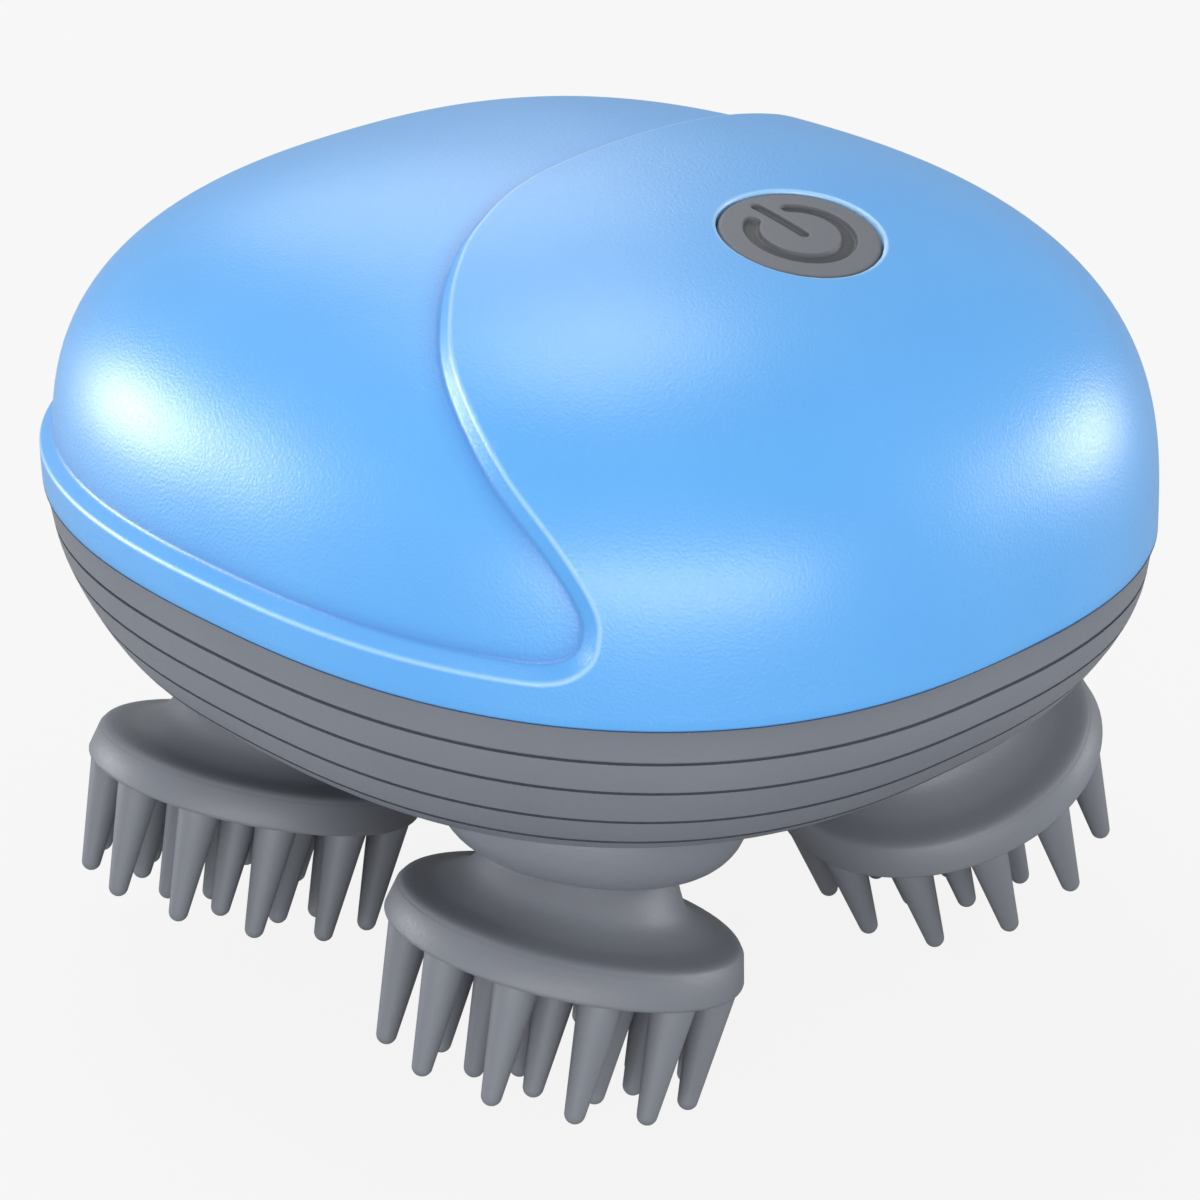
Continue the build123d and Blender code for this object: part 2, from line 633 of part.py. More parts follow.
# ---------------------------------------------------------------- heads
def massage_pad():
    """A soft head: rim, flared top, neck and three rings of teeth, moulded round its core."""
    rim = HEAD_DIAMETER / 2
    ridge = RIDGE_DIAMETER / 2
    neck = NECK_DIAMETER / 2
    base = Polyline((0, 0), (rim - RIM_ROUND, 0))
    lower_round = JernArc(base @ 1, (1, 0), RIM_ROUND, 88)
    wall = Line(lower_round @ 1, (ridge, RIM_HEIGHT - RIM_ROUND))
    ridge_z = RIM_HEIGHT - RIM_ROUND
    flare_points = [(ridge, ridge_z)]
    flare_points += [(ridge - inward, ridge_z + upward) for inward, upward in FLARE]
    flare_points.append((neck, NECK_START))
    flare = Spline(flare_points, tangents=((0, 1), (0, 1)))
    top = Polyline((neck, NECK_START), (neck, NECK_TOP), (0, NECK_TOP), (0, 0))
    pad = turned([base, lower_round, wall, flare, top])

    root = TOOTH_ROOT_DIAMETER / 2
    side = Polyline((0, TOOTH_SINK), (root, TOOTH_SINK), (root, 0), (tip_radius, tip_radius - TOOTH_LENGTH))
    tip = JernArc(side @ 1, (0, -1), tip_radius, -90)
    closing = Line(tip @ 1, side @ 0)
    tooth = turned([side, tip, closing])
    teeth = []
    for radius, count, first in TOOTH_RINGS:
        for number in range(count):
            teeth.append(Rot(0, 0, first + 360 / count * number) * Pos(radius, 0, 0) * tooth)
    return pad + teeth - core_body()


def core_body():
    """The space that a head's rigid core fills."""
    disc = rod(CORE_DISC_DIAMETER / 2, CORE_FLOOR, CORE_FLOOR + CORE_DISC_THICKNESS)
    return disc + rod(CORE_HUB_DIAMETER / 2, CORE_FLOOR, NECK_TOP + CORE_HUB_RISE)


def head_core():
    """The rigid core of a head, with a blind bore for the shaft."""
    return core_body() - rod(SHAFT_DIAMETER / 2, SHAFT_BASE, pocket_top)


def head_shaft():
    """A head's steel shaft, from the core up to its bush in the deck."""
    return rod(SHAFT_DIAMETER / 2, SHAFT_BASE, deck_bush_base + DECK_BUSH_LENGTH - SHAFT_END_GAP)


def toothed_disc(module, teeth, root_share, backlash, phase, width, twist=0.0):
    """A gear body with straight-flanked teeth; the first tooth is centred on the phase angle."""
    pitch = module * teeth / 2
    root = pitch - root_share * module
    tip = pitch + module
    lean = tan(radians(PRESSURE_ANGLE))
    half_pitch = pi * module / 4 - backlash / 2
    corners = []
    for number in range(teeth):
        middle = radians(phase + 360 / teeth * number)
        for radius, sign in ((root, -1), (tip, -1), (tip, 1), (root, 1)):
            half_tooth = half_pitch - (radius - pitch) * lean
            angle = middle + sign * half_tooth / radius
            corners.append((radius * cos(angle), radius * sin(angle), 0))
    wire = Wire.make_polygon(corners, close=True)
    if twist == 0.0:
        return Solid.extrude(Face(wire), Vector(0, 0, width))
    return Solid.extrude_linear_with_rotation(wire, (0, 0, 0), (0, 0, width), twist)


def head_gear():
    """The spur gear on a head's shaft."""
    disc = toothed_disc(GEAR_MODULE, HEAD_GEAR_TEETH, GEAR_ROOT, GEAR_BACKLASH, 0, GEAR_WIDTH)
    gear = Pos(0, 0, GEAR_ALONG) * disc
    low = bush_top + BUSH_FLANGE + GEAR_END_GAP
    gear += rod(GEAR_HUB_DIAMETER / 2, low, gear_top + GEAR_HUB_RISE)
    return gear - rod(SHAFT_DIAMETER / 2, low - OVERCUT, gear_top + GEAR_HUB_RISE + OVERCUT)


def compound_gear(side):
    """Pinion and worm wheel in one piece, which turns on a fixed pin."""
    pinion = toothed_disc(GEAR_MODULE, PINION_TEETH, GEAR_ROOT, GEAR_BACKLASH, 180 / PINION_TEETH, GEAR_WIDTH)
    crest = worm_lead * (90 + HEAD_TILT) / 360
    gap_angle = -side * 90 + degrees(asin(crest / wheel_pitch_radius))
    lead_angle = worm_lead / (2 * pi * worm_pitch_radius)
    twist = degrees(WHEEL_WIDTH * lead_angle / wheel_pitch_radius)
    phase = gap_angle + 180 / WHEEL_TEETH - twist / 2
    wheel = toothed_disc(WORM_MODULE, WHEEL_TEETH, WORM_ROOT, WORM_BACKLASH, phase, WHEEL_WIDTH, twist)
    gear = Pos(0, 0, GEAR_ALONG) * pinion
    gear += rod(DRIVE_HUB_DIAMETER / 2, pin_base, pin_top)
    gear += Pos(0, 0, wheel_along - WHEEL_WIDTH / 2) * wheel
    return gear - rod(DRIVE_PIN_DIAMETER / 2 + RUNNING_CLEARANCE, pin_base - OVERCUT, pin_top + OVERCUT)


# ---------------------------------------------------------------- motor and worm
def worm_thread():
    """The threaded part of the worm, centred on its frame, with a crest at angle 0 in the middle."""
    root = worm_pitch_radius - WORM_ROOT * WORM_MODULE
    tip = worm_pitch_radius + WORM_MODULE
    lean = tan(radians(PRESSURE_ANGLE))
    half_pitch = worm_lead / 4 - WORM_BACKLASH / 2
    tip_angle = 2 * pi * (half_pitch - (tip - worm_pitch_radius) * lean) / worm_lead
    root_angle = 2 * pi * (half_pitch - (root - worm_pitch_radius) * lean) / worm_lead

    def polar(radius, angle):
        return radius * cos(angle), radius * sin(angle), 0

    rising = []
    for number in range(WORM_FLANK_STEPS + 1):
        share = number / WORM_FLANK_STEPS
        rising.append(polar(tip + (root - tip) * share, tip_angle + (root_angle - tip_angle) * share))
    falling = [(x, -y, z) for x, y, z in reversed(rising)]
    crest = ThreePointArc(falling[-1], polar(tip, 0), rising[0])
    floor = ThreePointArc(rising[-1], polar(root, pi), falling[0])
    edges = [crest.edge(), Spline(rising).edge(), floor.edge(), Spline(falling).edge()]
    length = WORM_TURNS * worm_lead
    thread = Solid.extrude_linear_with_rotation(Wire(edges), (0, 0, 0), (0, 0, length), 360 * WORM_TURNS)
    return Pos(0, 0, -length / 2) * thread


def drive_worm():
    """The worm on the motor's shaft."""
    half = WORM_TURNS * worm_lead / 2
    root = worm_pitch_radius - WORM_ROOT * WORM_MODULE
    end = half + WORM_COLLAR
    body = worm_thread() + rod(root, -end, OVERLAP - half) + rod(root, half - OVERLAP, end)
    return worm_frame * (body - rod(MOTOR_SHAFT_DIAMETER / 2, -end - OVERCUT, end + OVERCUT))


def motor_pieces():
    """Can, end cap, magnets, rotor and shaft of the motor, on the worm's axis."""
    outer = MOTOR_DIAMETER / 2
    inner = outer - MOTOR_CAN_WALL
    back = motor_x + MOTOR_LENGTH
    nose = MOTOR_NOSE_DIAMETER / 2
    shaft = MOTOR_SHAFT_DIAMETER / 2
    can = rod(outer, motor_x, back) + rod(nose, motor_x - MOTOR_NOSE, motor_x)
    can -= rod(inner, motor_x + MOTOR_CAN_WALL, back)
    can -= rod(shaft + RUNNING_CLEARANCE, motor_x - MOTOR_NOSE - OVERCUT, motor_x + OVERCUT)
    for side in SIDES.values():
        hole = Pos(0, side * MOTOR_SCREW_SPACING / 2, 0)
        can -= hole * rod(MOTOR_SCREW[2] / 2, motor_x - OVERCUT, motor_x + MOTOR_CAN_WALL)
    cap_end = back + MOTOR_CAP
    cap = rod(outer, back, cap_end) + rod(nose, cap_end, cap_end + MOTOR_NOSE)
    cap -= rod(shaft + RUNNING_CLEARANCE, back - OVERCUT, cap_end + MOTOR_CAP_WALL)
    tab_width, tab_depth, tab_height = MOTOR_TAB
    for side in SIDES.values():
        middle = side * (nose + outer) / 2
        low = (-tab_width / 2, middle - tab_depth / 2, cap_end - OVERLAP)
        cap += block(low, (tab_width / 2, middle + tab_depth / 2, cap_end + tab_height))
    rotor_radius = inner - MAGNET_THICKNESS - ROTOR_GAP
    magnet = tube(inner, inner - MAGNET_THICKNESS, motor_x + MAGNET_END_GAP, back - MAGNET_END_GAP)
    magnets = magnet - block((-outer, -MAGNET_SPLIT / 2, motor_x), (outer, MAGNET_SPLIT / 2, back))
    rotor = rod(rotor_radius, motor_x + ROTOR_END_GAP, back - ROTOR_END_GAP)
    for number in range(ROTOR_SLOTS):
        low = (rotor_radius / 2, -ROTOR_SLOT_WIDTH / 2, motor_x)
        rotor -= Rot(0, 0, 360 / ROTOR_SLOTS * number) * block(low, (outer, ROTOR_SLOT_WIDTH / 2, back))
    rotor -= rod(shaft, motor_x, back)
    axle = rod(shaft, -motor_x, back + MOTOR_CAP)
    pieces = {"motor_can": can, "motor_end_cap": cap, "motor_magnets": magnets, "motor_rotor": rotor,
              "motor_shaft": axle}
    return {name: worm_frame * piece for name, piece in pieces.items()}


# ---------------------------------------------------------------- gear deck
def gear_deck():
    """The plate that carries the upper bushes, the motor and the battery."""
    plate = Pos(0, 0, deck_z) * extrude(Ellipse(DECK_LENGTH / 2, DECK_WIDTH / 2), DECK_THICKNESS)
    under = block((-FAR, -FAR, 0), (FAR, FAR, deck_z + DECK_THICKNESS / 2))
    for side in SIDES.values():
        for end in ENDS.values():
            wide = DECK_BUSH_DIAMETER / 2 + DECK_BUSH_WALL
            plate += rod(wide, deck_bush_base, deck_bush_base + FAR, head_frame(end, side)) & under
        wide = DRIVE_PIN_DIAMETER / 2 + PIN_BOSS_WALL
        plate += rod(wide, pin_top + GEAR_END_GAP, pin_top + FAR, drive_frame(side)) & under
    width, reach = BRACKET_SIZE
    plate += block((bracket_x, -width / 2, worm_z - reach), (motor_x, width / 2, deck_z))
    width, reach = BUSH_BRACKET_SIZE
    plate += block((-motor_x, -width / 2, worm_z - reach), (-bracket_x, width / 2, deck_z))
    motor_back = motor_x + MOTOR_LENGTH
    low = (motor_x + MOTOR_CRADLE_GAP, -MOTOR_CRADLE_WIDTH / 2, worm_z + MOTOR_CRADLE_RISE)
    plate += block(low, (motor_back - MOTOR_CRADLE_GAP, MOTOR_CRADLE_WIDTH / 2, deck_z))

    plate -= rod(MOTOR_DIAMETER / 2, motor_x, motor_back + MOTOR_CAP, worm_frame)
    plate -= rod(MOTOR_NOSE_DIAMETER / 2, bracket_x - OVERCUT, motor_x + OVERCUT, worm_frame)
    plate -= rod(worm_bush_diameter / 2, -motor_x - OVERCUT, OVERCUT - bracket_x, worm_frame)
    for side in SIDES.values():
        hole = worm_frame * Pos(0, side * MOTOR_SCREW_SPACING / 2, 0)
        plate -= rod(MOTOR_SCREW[2] / 2, bracket_x - OVERCUT, motor_x + OVERCUT, hole)
        for end in ENDS.values():
            high = deck_bush_base + DECK_BUSH_LENGTH
            plate -= rod(DECK_BUSH_DIAMETER / 2, deck_bush_base - OVERCUT, high, head_frame(end, side))
        plate -= rod(DRIVE_PIN_DIAMETER / 2, pin_top - OVERCUT, pin_top + PIN_SEAT, drive_frame(side))
    for x, y in pillar_places():
        radius = DECK_SCREW[2] / 2 + SCREW_HOLE_GAP
        plate -= Pos(x, y, 0) * rod(radius, deck_z - OVERCUT, deck_top + OVERCUT)
    return plate - post_holes(deck_z - OVERCUT, deck_top + OVERCUT)


# ---------------------------------------------------------------- button, switch and board
def power_button():
    """The button cap: a thin shell with a flange, a stem and an engraved power symbol."""
    radius = BUTTON_DIAMETER / 2
    here = button_frame()
    low = -COLLAR_DEPTH - BUTTON_FLANGE
    skin = BUTTON_SINK + BUTTON_WALL + SYMBOL_DEPTH
    body = rod(radius, low, COVER_WALL, here) & crown(BUTTON_SINK)
    body += rod(BUTTON_FLANGE_DIAMETER / 2, low, -COLLAR_DEPTH, here)
    body -= tube(radius - BUTTON_WALL, BUTTON_STEM_DIAMETER / 2, low - OVERCUT, -skin, here)
    body += rod(BUTTON_STEM_DIAMETER / 2, plunger_top, low + OVERCUT, here)
    body -= tube(radius + OVERCUT, radius - ORING_GROOVE, oring_low, oring_low + ORING_WIDTH, here)
    return body - (here * power_symbol() - crown(BUTTON_SINK + SYMBOL_DEPTH))


def power_symbol():
    """An upright cutter: an open ring and a bar through its opening."""
    high = -SWITCH_DEPTH, SWITCH_DEPTH
    ring = tube(SYMBOL_RADIUS + SYMBOL_STROKE / 2, SYMBOL_RADIUS - SYMBOL_STROKE / 2, *high)
    side = BUTTON_DIAMETER * tan(radians(SYMBOL_OPENING / 2))
    corners = [(0, 0), (-BUTTON_DIAMETER, side), (-BUTTON_DIAMETER, -side)]
    ring -= Pos(0, 0, high[0]) * extrude(make_face(Polyline(corners, close=True)), high[1] - high[0])
    start, end = SYMBOL_BAR
    half = SYMBOL_BAR_STROKE / 2
    return ring + block((start, -half, high[0]), (end, half, high[1]))


def button_seal():
    """The O-ring round the button."""
    outer = BUTTON_DIAMETER / 2 + BUTTON_GAP - ORING_SQUEEZE
    inner = BUTTON_DIAMETER / 2 - ORING_GROOVE
    return tube(outer, inner, oring_low, oring_low + ORING_WIDTH, button_frame())


def button_retainer():
    """The ring that keeps the button in its collar."""
    low = -COLLAR_DEPTH - COLLAR_SKIRT - RETAINER_THICKNESS
    return tube(COLLAR_DIAMETER / 2, RETAINER_BORE / 2, low, low + RETAINER_THICKNESS, button_frame())


def switch_plunger():
    """The switch's plunger, which the button's stem pushes."""
    return rod(PLUNGER_DIAMETER / 2, -SWITCH_DEPTH - PLUNGER_SEAT, plunger_top, button_frame())


def tact_switch():
    """The switch body with its well for the plunger."""
    here = button_frame()
    half = SWITCH_SIZE / 2
    body = block((-half, -half, board_top), (half, half, -SWITCH_DEPTH), here)
    well = -SWITCH_DEPTH - PLUNGER_SEAT - BUTTON_TRAVEL - OVERLAP
    return body - rod(PLUNGER_DIAMETER / 2 + PLUNGER_GAP, well, 0, here)


def circuit_board():
    """The main board under the button."""
    here = button_frame()
    low = (-BOARD_LENGTH / 2, -BOARD_WIDTH / 2, board_top - BOARD_THICKNESS)
    board = block(low, (BOARD_LENGTH / 2, BOARD_WIDTH / 2, board_top), here)
    for x, y in BOARD_POSTS:
        radius = BOARD_SCREW[2] / 2 + SCREW_HOLE_GAP
        board -= here * Pos(x, y, 0) * rod(radius, board_top - BOARD_THICKNESS - OVERCUT, board_top + OVERCUT)
    return board - post_holes(deck_top, crown_z(BUTTON_X, 0))


def board_components():
    """Chips and connectors on the board's two faces."""
    here = button_frame()
    under = board_top - BOARD_THICKNESS
    pieces = []
    for x, y, length, width, height in BOARD_CHIPS:
        low = (x - length / 2, y - width / 2, under - height)
        pieces.append(block(low, (x + length / 2, y + width / 2, under), here))
    diameter, height = CAPACITOR_SIZE
    pieces.append(rod(diameter / 2, under - height, under, here * Pos(*CAPACITOR_PLACE, 0)))
    return group(pieces)


# ---------------------------------------------------------------- battery
def battery_cell():
    """The rechargeable cell, with a button terminal at one end."""
    half = CELL_LENGTH / 2
    diameter, height = CELL_TERMINAL
    body = rod(CELL_DIAMETER / 2, -half, half - height, cell_frame)
    return body + rod(diameter / 2, half - height, half, cell_frame)


def battery_cradle():
    """The tray that holds the cell on the deck."""
    half = CELL_LENGTH / 2 + CRADLE_CLEARANCE + CRADLE_WALL
    side = CELL_DIAMETER / 2 + CRADLE_CLEARANCE + CRADLE_WALL
    low = (CELL_X - side, -half, deck_top)
    tray = block(low, (CELL_X + side, half, cell_z))
    tray -= rod(CELL_DIAMETER / 2 + CRADLE_CLEARANCE, CRADLE_WALL - half, half - CRADLE_WALL, cell_frame)
    return tray


# ---------------------------------------------------------------- charging port
def charging_socket():
    """The socket's metal shell with its tongue."""
    width, depth, height = SOCKET_SIZE
    here = socket_frame * Pos(0, -depth / 2, 0)
    shell = rounded_block(width, depth, height, here)
    inner = (width - 2 * SOCKET_WALL, depth, height - 2 * SOCKET_WALL)
    shell -= rounded_block(*inner, here * Pos(0, SOCKET_FLOOR, 0))
    tongue_width, tongue_depth, tongue_height = SOCKET_TONGUE
    floor = SOCKET_FLOOR - depth
    low = (-tongue_width / 2, floor - OVERLAP, -tongue_height / 2)
    return shell + block(low, (tongue_width / 2, floor + tongue_depth, tongue_height / 2), socket_frame)


def charge_board():
    """The small board that carries the socket."""
    width, thickness = CHARGE_BOARD
    top = -SOCKET_SIZE[2] / 2
    back = -SOCKET_SIZE[1]
    return block((-width / 2, back, top - thickness), (width / 2, back + charge_board_depth, top), socket_frame)


def port_plug(bowl):
    """The soft plug over the charging port: a flush plate with a hollow tongue."""
    plate = port_recess(PORT_PLATE_GAP) & bowl
    width, depth, height = PORT_TONGUE
    tongue = rounded_block(width, depth, height, socket_frame * Pos(0, -depth / 2, 0))
    gap = PORT_TONGUE_GAP
    slot_width, slot_height = SOCKET_TONGUE[0] + 2 * gap, SOCKET_TONGUE[2] + 2 * gap
    low = (-slot_width / 2, -depth - OVERCUT, -slot_height / 2)
    high = (slot_width / 2, -PORT_TONGUE_ROOT, slot_height / 2)
    return plate + (tongue - block(low, high, socket_frame))


# ---------------------------------------------------------------- fasteners and bushes
def gasket():
    """The soft ring between cover and lower housing."""
    return band(GASKET_INSET, GASKET_INSET + GASKET_WIDTH, parting_z - GASKET_HEIGHT, parting_z)


def cover_screws():
    """The screws that go up through the lower housing into the cover's posts."""
    return group([screw(COVER_SCREW, Location((x, y, screw_seat_z)) * Rot(180, 0, 0)) for x, y in post_places()])


def screw_plugs(bowl):
    """Soft plugs that close the screw holes flush with the housing."""
    radius = SCREW_BORE_DIAMETER / 2 - PLUG_CLEARANCE
    top = parting_z - floor_depth + PLUG_LENGTH
    return group([Pos(x, y, 0) * rod(radius, rim_z, top) & bowl for x, y in post_places()])


def shaft_seals():
    """Seals under the turret bushes."""
    inner = SHAFT_DIAMETER / 2 + SEAL_CLEARANCE
    return group([tube(SEAL_DIAMETER / 2, inner, pocket_top, seal_top, head_frame(end, side))
                  for end in ENDS.values() for side in SIDES.values()])


def turret_bushes():
    """Flanged bushes for the head shafts in the turrets."""
    bore = SHAFT_DIAMETER / 2 + RUNNING_CLEARANCE
    pieces = []
    for side in SIDES.values():
        for end in ENDS.values():
            here = head_frame(end, side)
            bush = rod(BUSH_DIAMETER / 2, bush_base, bush_top, here)
            bush += rod(BUSH_FLANGE_DIAMETER / 2, bush_top, bush_top + BUSH_FLANGE, here)
            pieces.append(bush - rod(bore, bush_base - OVERCUT, bush_top + BUSH_FLANGE + OVERCUT, here))
    return group(pieces)


def deck_bushes():
    """Plain bushes for the upper ends of the head shafts."""
    bore = SHAFT_DIAMETER / 2 + RUNNING_CLEARANCE
    top = deck_bush_base + DECK_BUSH_LENGTH
    return group([tube(DECK_BUSH_DIAMETER / 2, bore, deck_bush_base, top, head_frame(end, side))
                  for end in ENDS.values() for side in SIDES.values()])


def drive_pins():
    """Fixed pins that the compound gears turn on."""
    low, high = pin_base - PIN_SEAT, pin_top + PIN_SEAT
    return group([rod(DRIVE_PIN_DIAMETER / 2, low, high, drive_frame(side)) for side in SIDES.values()])


def worm_bush():
    """The bush at the free end of the motor's shaft."""
    bore = MOTOR_SHAFT_DIAMETER / 2 + RUNNING_CLEARANCE
    return tube(worm_bush_diameter / 2, bore, -motor_x, -bracket_x, worm_frame)


def main():
    """Build every piece and write its file."""
    os.makedirs("parts", exist_ok=True)
    bowl = tub(0)
    write("upper_cover", upper_cover())
    write("lower_housing", lower_housing(bowl))
    write("housing_gasket", gasket())
    write("cover_screws", cover_screws())
    write("screw_plugs", screw_plugs(bowl))
    write("power_button", power_button())
    write("button_seal", button_seal())
    write("button_retainer", button_retainer())
    write("switch_plunger", switch_plunger())
    write("tact_switch", tact_switch())
    write("circuit_board", circuit_board())
    write("board_components", board_components())
    board_holes = [button_frame() * Pos(x, y, board_top - BOARD_THICKNESS) for x, y in BOARD_POSTS]
    write("board_screws", group([screw(BOARD_SCREW, hole * Rot(180, 0, 0)) for hole in board_holes]))
    write("charging_socket", charging_socket())
    write("charge_board", charge_board())
    write("port_plug", port_plug(bowl))
    write("battery_cell", battery_cell())
    write("battery_cradle", battery_cradle())
    write("gear_deck", gear_deck())
    write("deck_screws", group([screw(DECK_SCREW, Location((x, y, deck_top))) for x, y in pillar_places()]))
    write("deck_bushes", deck_bushes())
    write("turret_bushes", turret_bushes())
    write("shaft_seals", shaft_seals())
    write("drive_pins", drive_pins())
    write("worm_bush", worm_bush())
    write("drive_worm", drive_worm())
    for name, piece in motor_pieces().items():
        write(name, piece)
    holes = [worm_frame * Pos(0, side * MOTOR_SCREW_SPACING / 2, bracket_x) for side in SIDES.values()]
    write("motor_screws", group([screw(MOTOR_SCREW, hole * Rot(180, 0, 0)) for hole in holes]))
    pad, core, shaft, gear = massage_pad(), head_core(), head_shaft(), head_gear()
    for side_name, side in SIDES.items():
        write(side_name + "_compound_gear", drive_frame(side) * compound_gear(side))
        for end_name, end in ENDS.items():
            here = head_frame(end, side)
            prefix = side_name + "_" + end_name + "_"
            write(prefix + "massage_pad", here * pad)
            write(prefix + "head_core", here * core)
            write(prefix + "head_shaft", here * shaft)
            write(prefix + "head_gear", here * gear)


main()
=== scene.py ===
import json
from bisect import bisect_left
from math import atan2, cos, hypot, pi, radians, sin

import bmesh
import bpy
from mathutils import Matrix, Vector
from mathutils.kdtree import KDTree


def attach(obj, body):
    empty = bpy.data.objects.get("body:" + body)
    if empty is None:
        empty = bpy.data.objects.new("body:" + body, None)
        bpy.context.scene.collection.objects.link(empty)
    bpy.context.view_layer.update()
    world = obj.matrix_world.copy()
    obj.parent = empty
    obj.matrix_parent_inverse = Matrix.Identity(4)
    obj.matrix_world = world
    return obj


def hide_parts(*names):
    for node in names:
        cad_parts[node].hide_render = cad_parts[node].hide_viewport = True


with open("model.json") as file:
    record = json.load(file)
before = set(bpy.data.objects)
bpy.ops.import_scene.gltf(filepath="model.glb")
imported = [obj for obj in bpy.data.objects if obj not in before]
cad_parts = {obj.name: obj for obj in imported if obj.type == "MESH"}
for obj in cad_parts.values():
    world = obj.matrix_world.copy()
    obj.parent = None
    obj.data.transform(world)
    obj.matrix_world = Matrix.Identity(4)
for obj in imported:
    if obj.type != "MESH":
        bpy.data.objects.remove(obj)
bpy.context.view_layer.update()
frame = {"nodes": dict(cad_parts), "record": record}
nodes = frame["nodes"]
MM = 0.001

# ------------------------------------------------------- sizes shared with the solid model, in mm
HALF_LENGTH = 58.0
HALF_WIDTH = 46.5
OUTLINE_POWER = 2.45  # of the outline seen from above
CROWN_HEIGHT = 36.0
CROWN_SIDE_POWER = 2.8  # of the height in the crown's section
CROWN_TOP_POWER = 2.2  # of the reach in the crown's section
CROWN_SHIFT = 4.2  # of the top towards the button
COVER_WALL = 2.4

PANEL_DEPTH = 1.3
PANEL_STRIP = 3.8  # height of the plain strip under the panel
PANEL_VIEW = 45.0  # slant of the view in which the front edge is drawn, in degrees
# The panel's edge over the rear half as (x, y), and over the front half as (x, slanted height)
PANEL_REAR_EDGE = ((5.6, 0.0), (4.9, 12.0), (3.4, 24.0), (-1.0, 36.0), (-7.0, 46.0))
PANEL_FRONT_EDGE = ((5.6, 25.5), (6.6, 17.0), (9.3, 10.2), (12.3, 5.5), (16.4, 0.6), (21.6, -4.4),
                    (30.8, -10.7), (37.6, -14.4), (41.4, -17.4), (41.9, -20.0), (41.1, -22.0),
                    (39.2, -23.95), (36.0, -25.75))

BUTTON_X = 31.0
BUTTON_RADIUS = 7.5
BUTTON_SINK = 0.25
HOLE_RADIUS = 7.75
SYMBOL_RADIUS = 4.5
SYMBOL_STROKE = 1.5
SYMBOL_BAR_STROKE = 1.1
SYMBOL_OPENING = 62.0  # of the ring, in degrees
SYMBOL_BAR = (-6.2, 0.9)  # where the bar starts and ends
SYMBOL_DEPTH = 0.4

HEAD_TILT = 20.0
HEAD_X = 24.0
HEAD_OFFSET = 26.2
RIM_RADIUS = 17.5
RIDGE_RADIUS = 16.9
RIM_HEIGHT = 3.5
RIM_ROUND = 0.5
FLARE = ((0.8, 0.75), (3.6, 1.4), (5.9, 2.7), (7.2, 4.6))  # inward and upward from the ridge
NECK_RADIUS = 8.7
NECK_START = 10.0
NECK_TOP = 12.2
NECK_EDGE = 0.3
CORE_FLOOR = 1.4
CORE_TOP = 3.3
CORE_RADIUS = 12.5
CORE_HUB = 5.25
TOOTH_LENGTH = 12.0
TOOTH_ROOT = 2.15
TOOTH_TIP = 1.0
TOOTH_SINK = 0.6
TOOTH_RINGS = ((15.1, 12, 0.0), (9.8, 10, -10.0), (5.2, 5, 8.0))  # radius, teeth, first direction

TILT_SIN = sin(radians(HEAD_TILT))
TILT_COS = cos(radians(HEAD_TILT))
RIM_Z = (TOOTH_LENGTH - TOOTH_TIP) * TILT_COS + TOOTH_TIP + TOOTH_RINGS[0][0] * TILT_SIN
PARTING_RISE = 33.15  # from the middle of a pad's face to the parting line
PARTING_Z = RIM_Z + PARTING_RISE
HOUSING_DEPTH = 17.0
UNDERSIDE_Z = PARTING_Z - HOUSING_DEPTH

SCREW_PLUG_RADIUS = 2.65
SCREW_PLUG_LENGTH = 2.6
SCREW_PLUG_ROUND = 0.25
SCREW_PLUG_DISH = ((0.0, 0.35), (1.3, 0.25), (1.9, 0.05))  # radius and depth of the hollow face
SCREW_PLUG_PLACES = ((-42.0, -8.0), (-42.0, 8.0), (42.0, -8.0), (42.0, 8.0))
PORT_PLUG_EDGE = 0.12


# ------------------------------------------------------- camera, light and floor
CAMERA_TURN = 48.27
CAMERA_RISE = 25.22
CAMERA_ROLL = -2.27
CAMERA_DISTANCE = 354.6
CAMERA_ACROSS = 1.69
CAMERA_UP = -12.72
CAMERA_LENS = 106.34
SENSOR_WIDTH = 36.0
NEAREST_SEEN = 0.01  # in m
AIM_Z = 50.1

# Name, direction round the massager and above it in degrees, distance, width and height in m,
# and power in W
LAMPS = (("left_softbox", -152, 3, 0.8, (0.32, 0.24), 3.0),
         ("front_softbox", -46, 6, 0.9, (1.30, 0.18), 6.0),
         ("right_softbox", 60, 3, 0.8, (0.30, 0.28), 2.7),
         ("back_softbox", 152, 34, 0.9, (0.5, 0.3), 1.0),
         ("top_softbox", 172, 74, 0.9, (0.6, 0.4), 2.8))

WHITE = (1, 1, 1, 1)
ROOM_COLOUR = (0.95, 0.97, 1, 1)
ROOM_STRENGTH = 0.44
FLOOR_REACH = 3.0  # from its middle to its sides, in m
FLOOR_CELLS = 4
FLOOR_COLOUR = (0.42, 0.42, 0.42, 1)
FLOOR_ROUGHNESS = 0.8
FLOOR_GLOSS = 0.2
FLOOR_WHITENESS = 0.88  # share of plain white that the camera sees in it


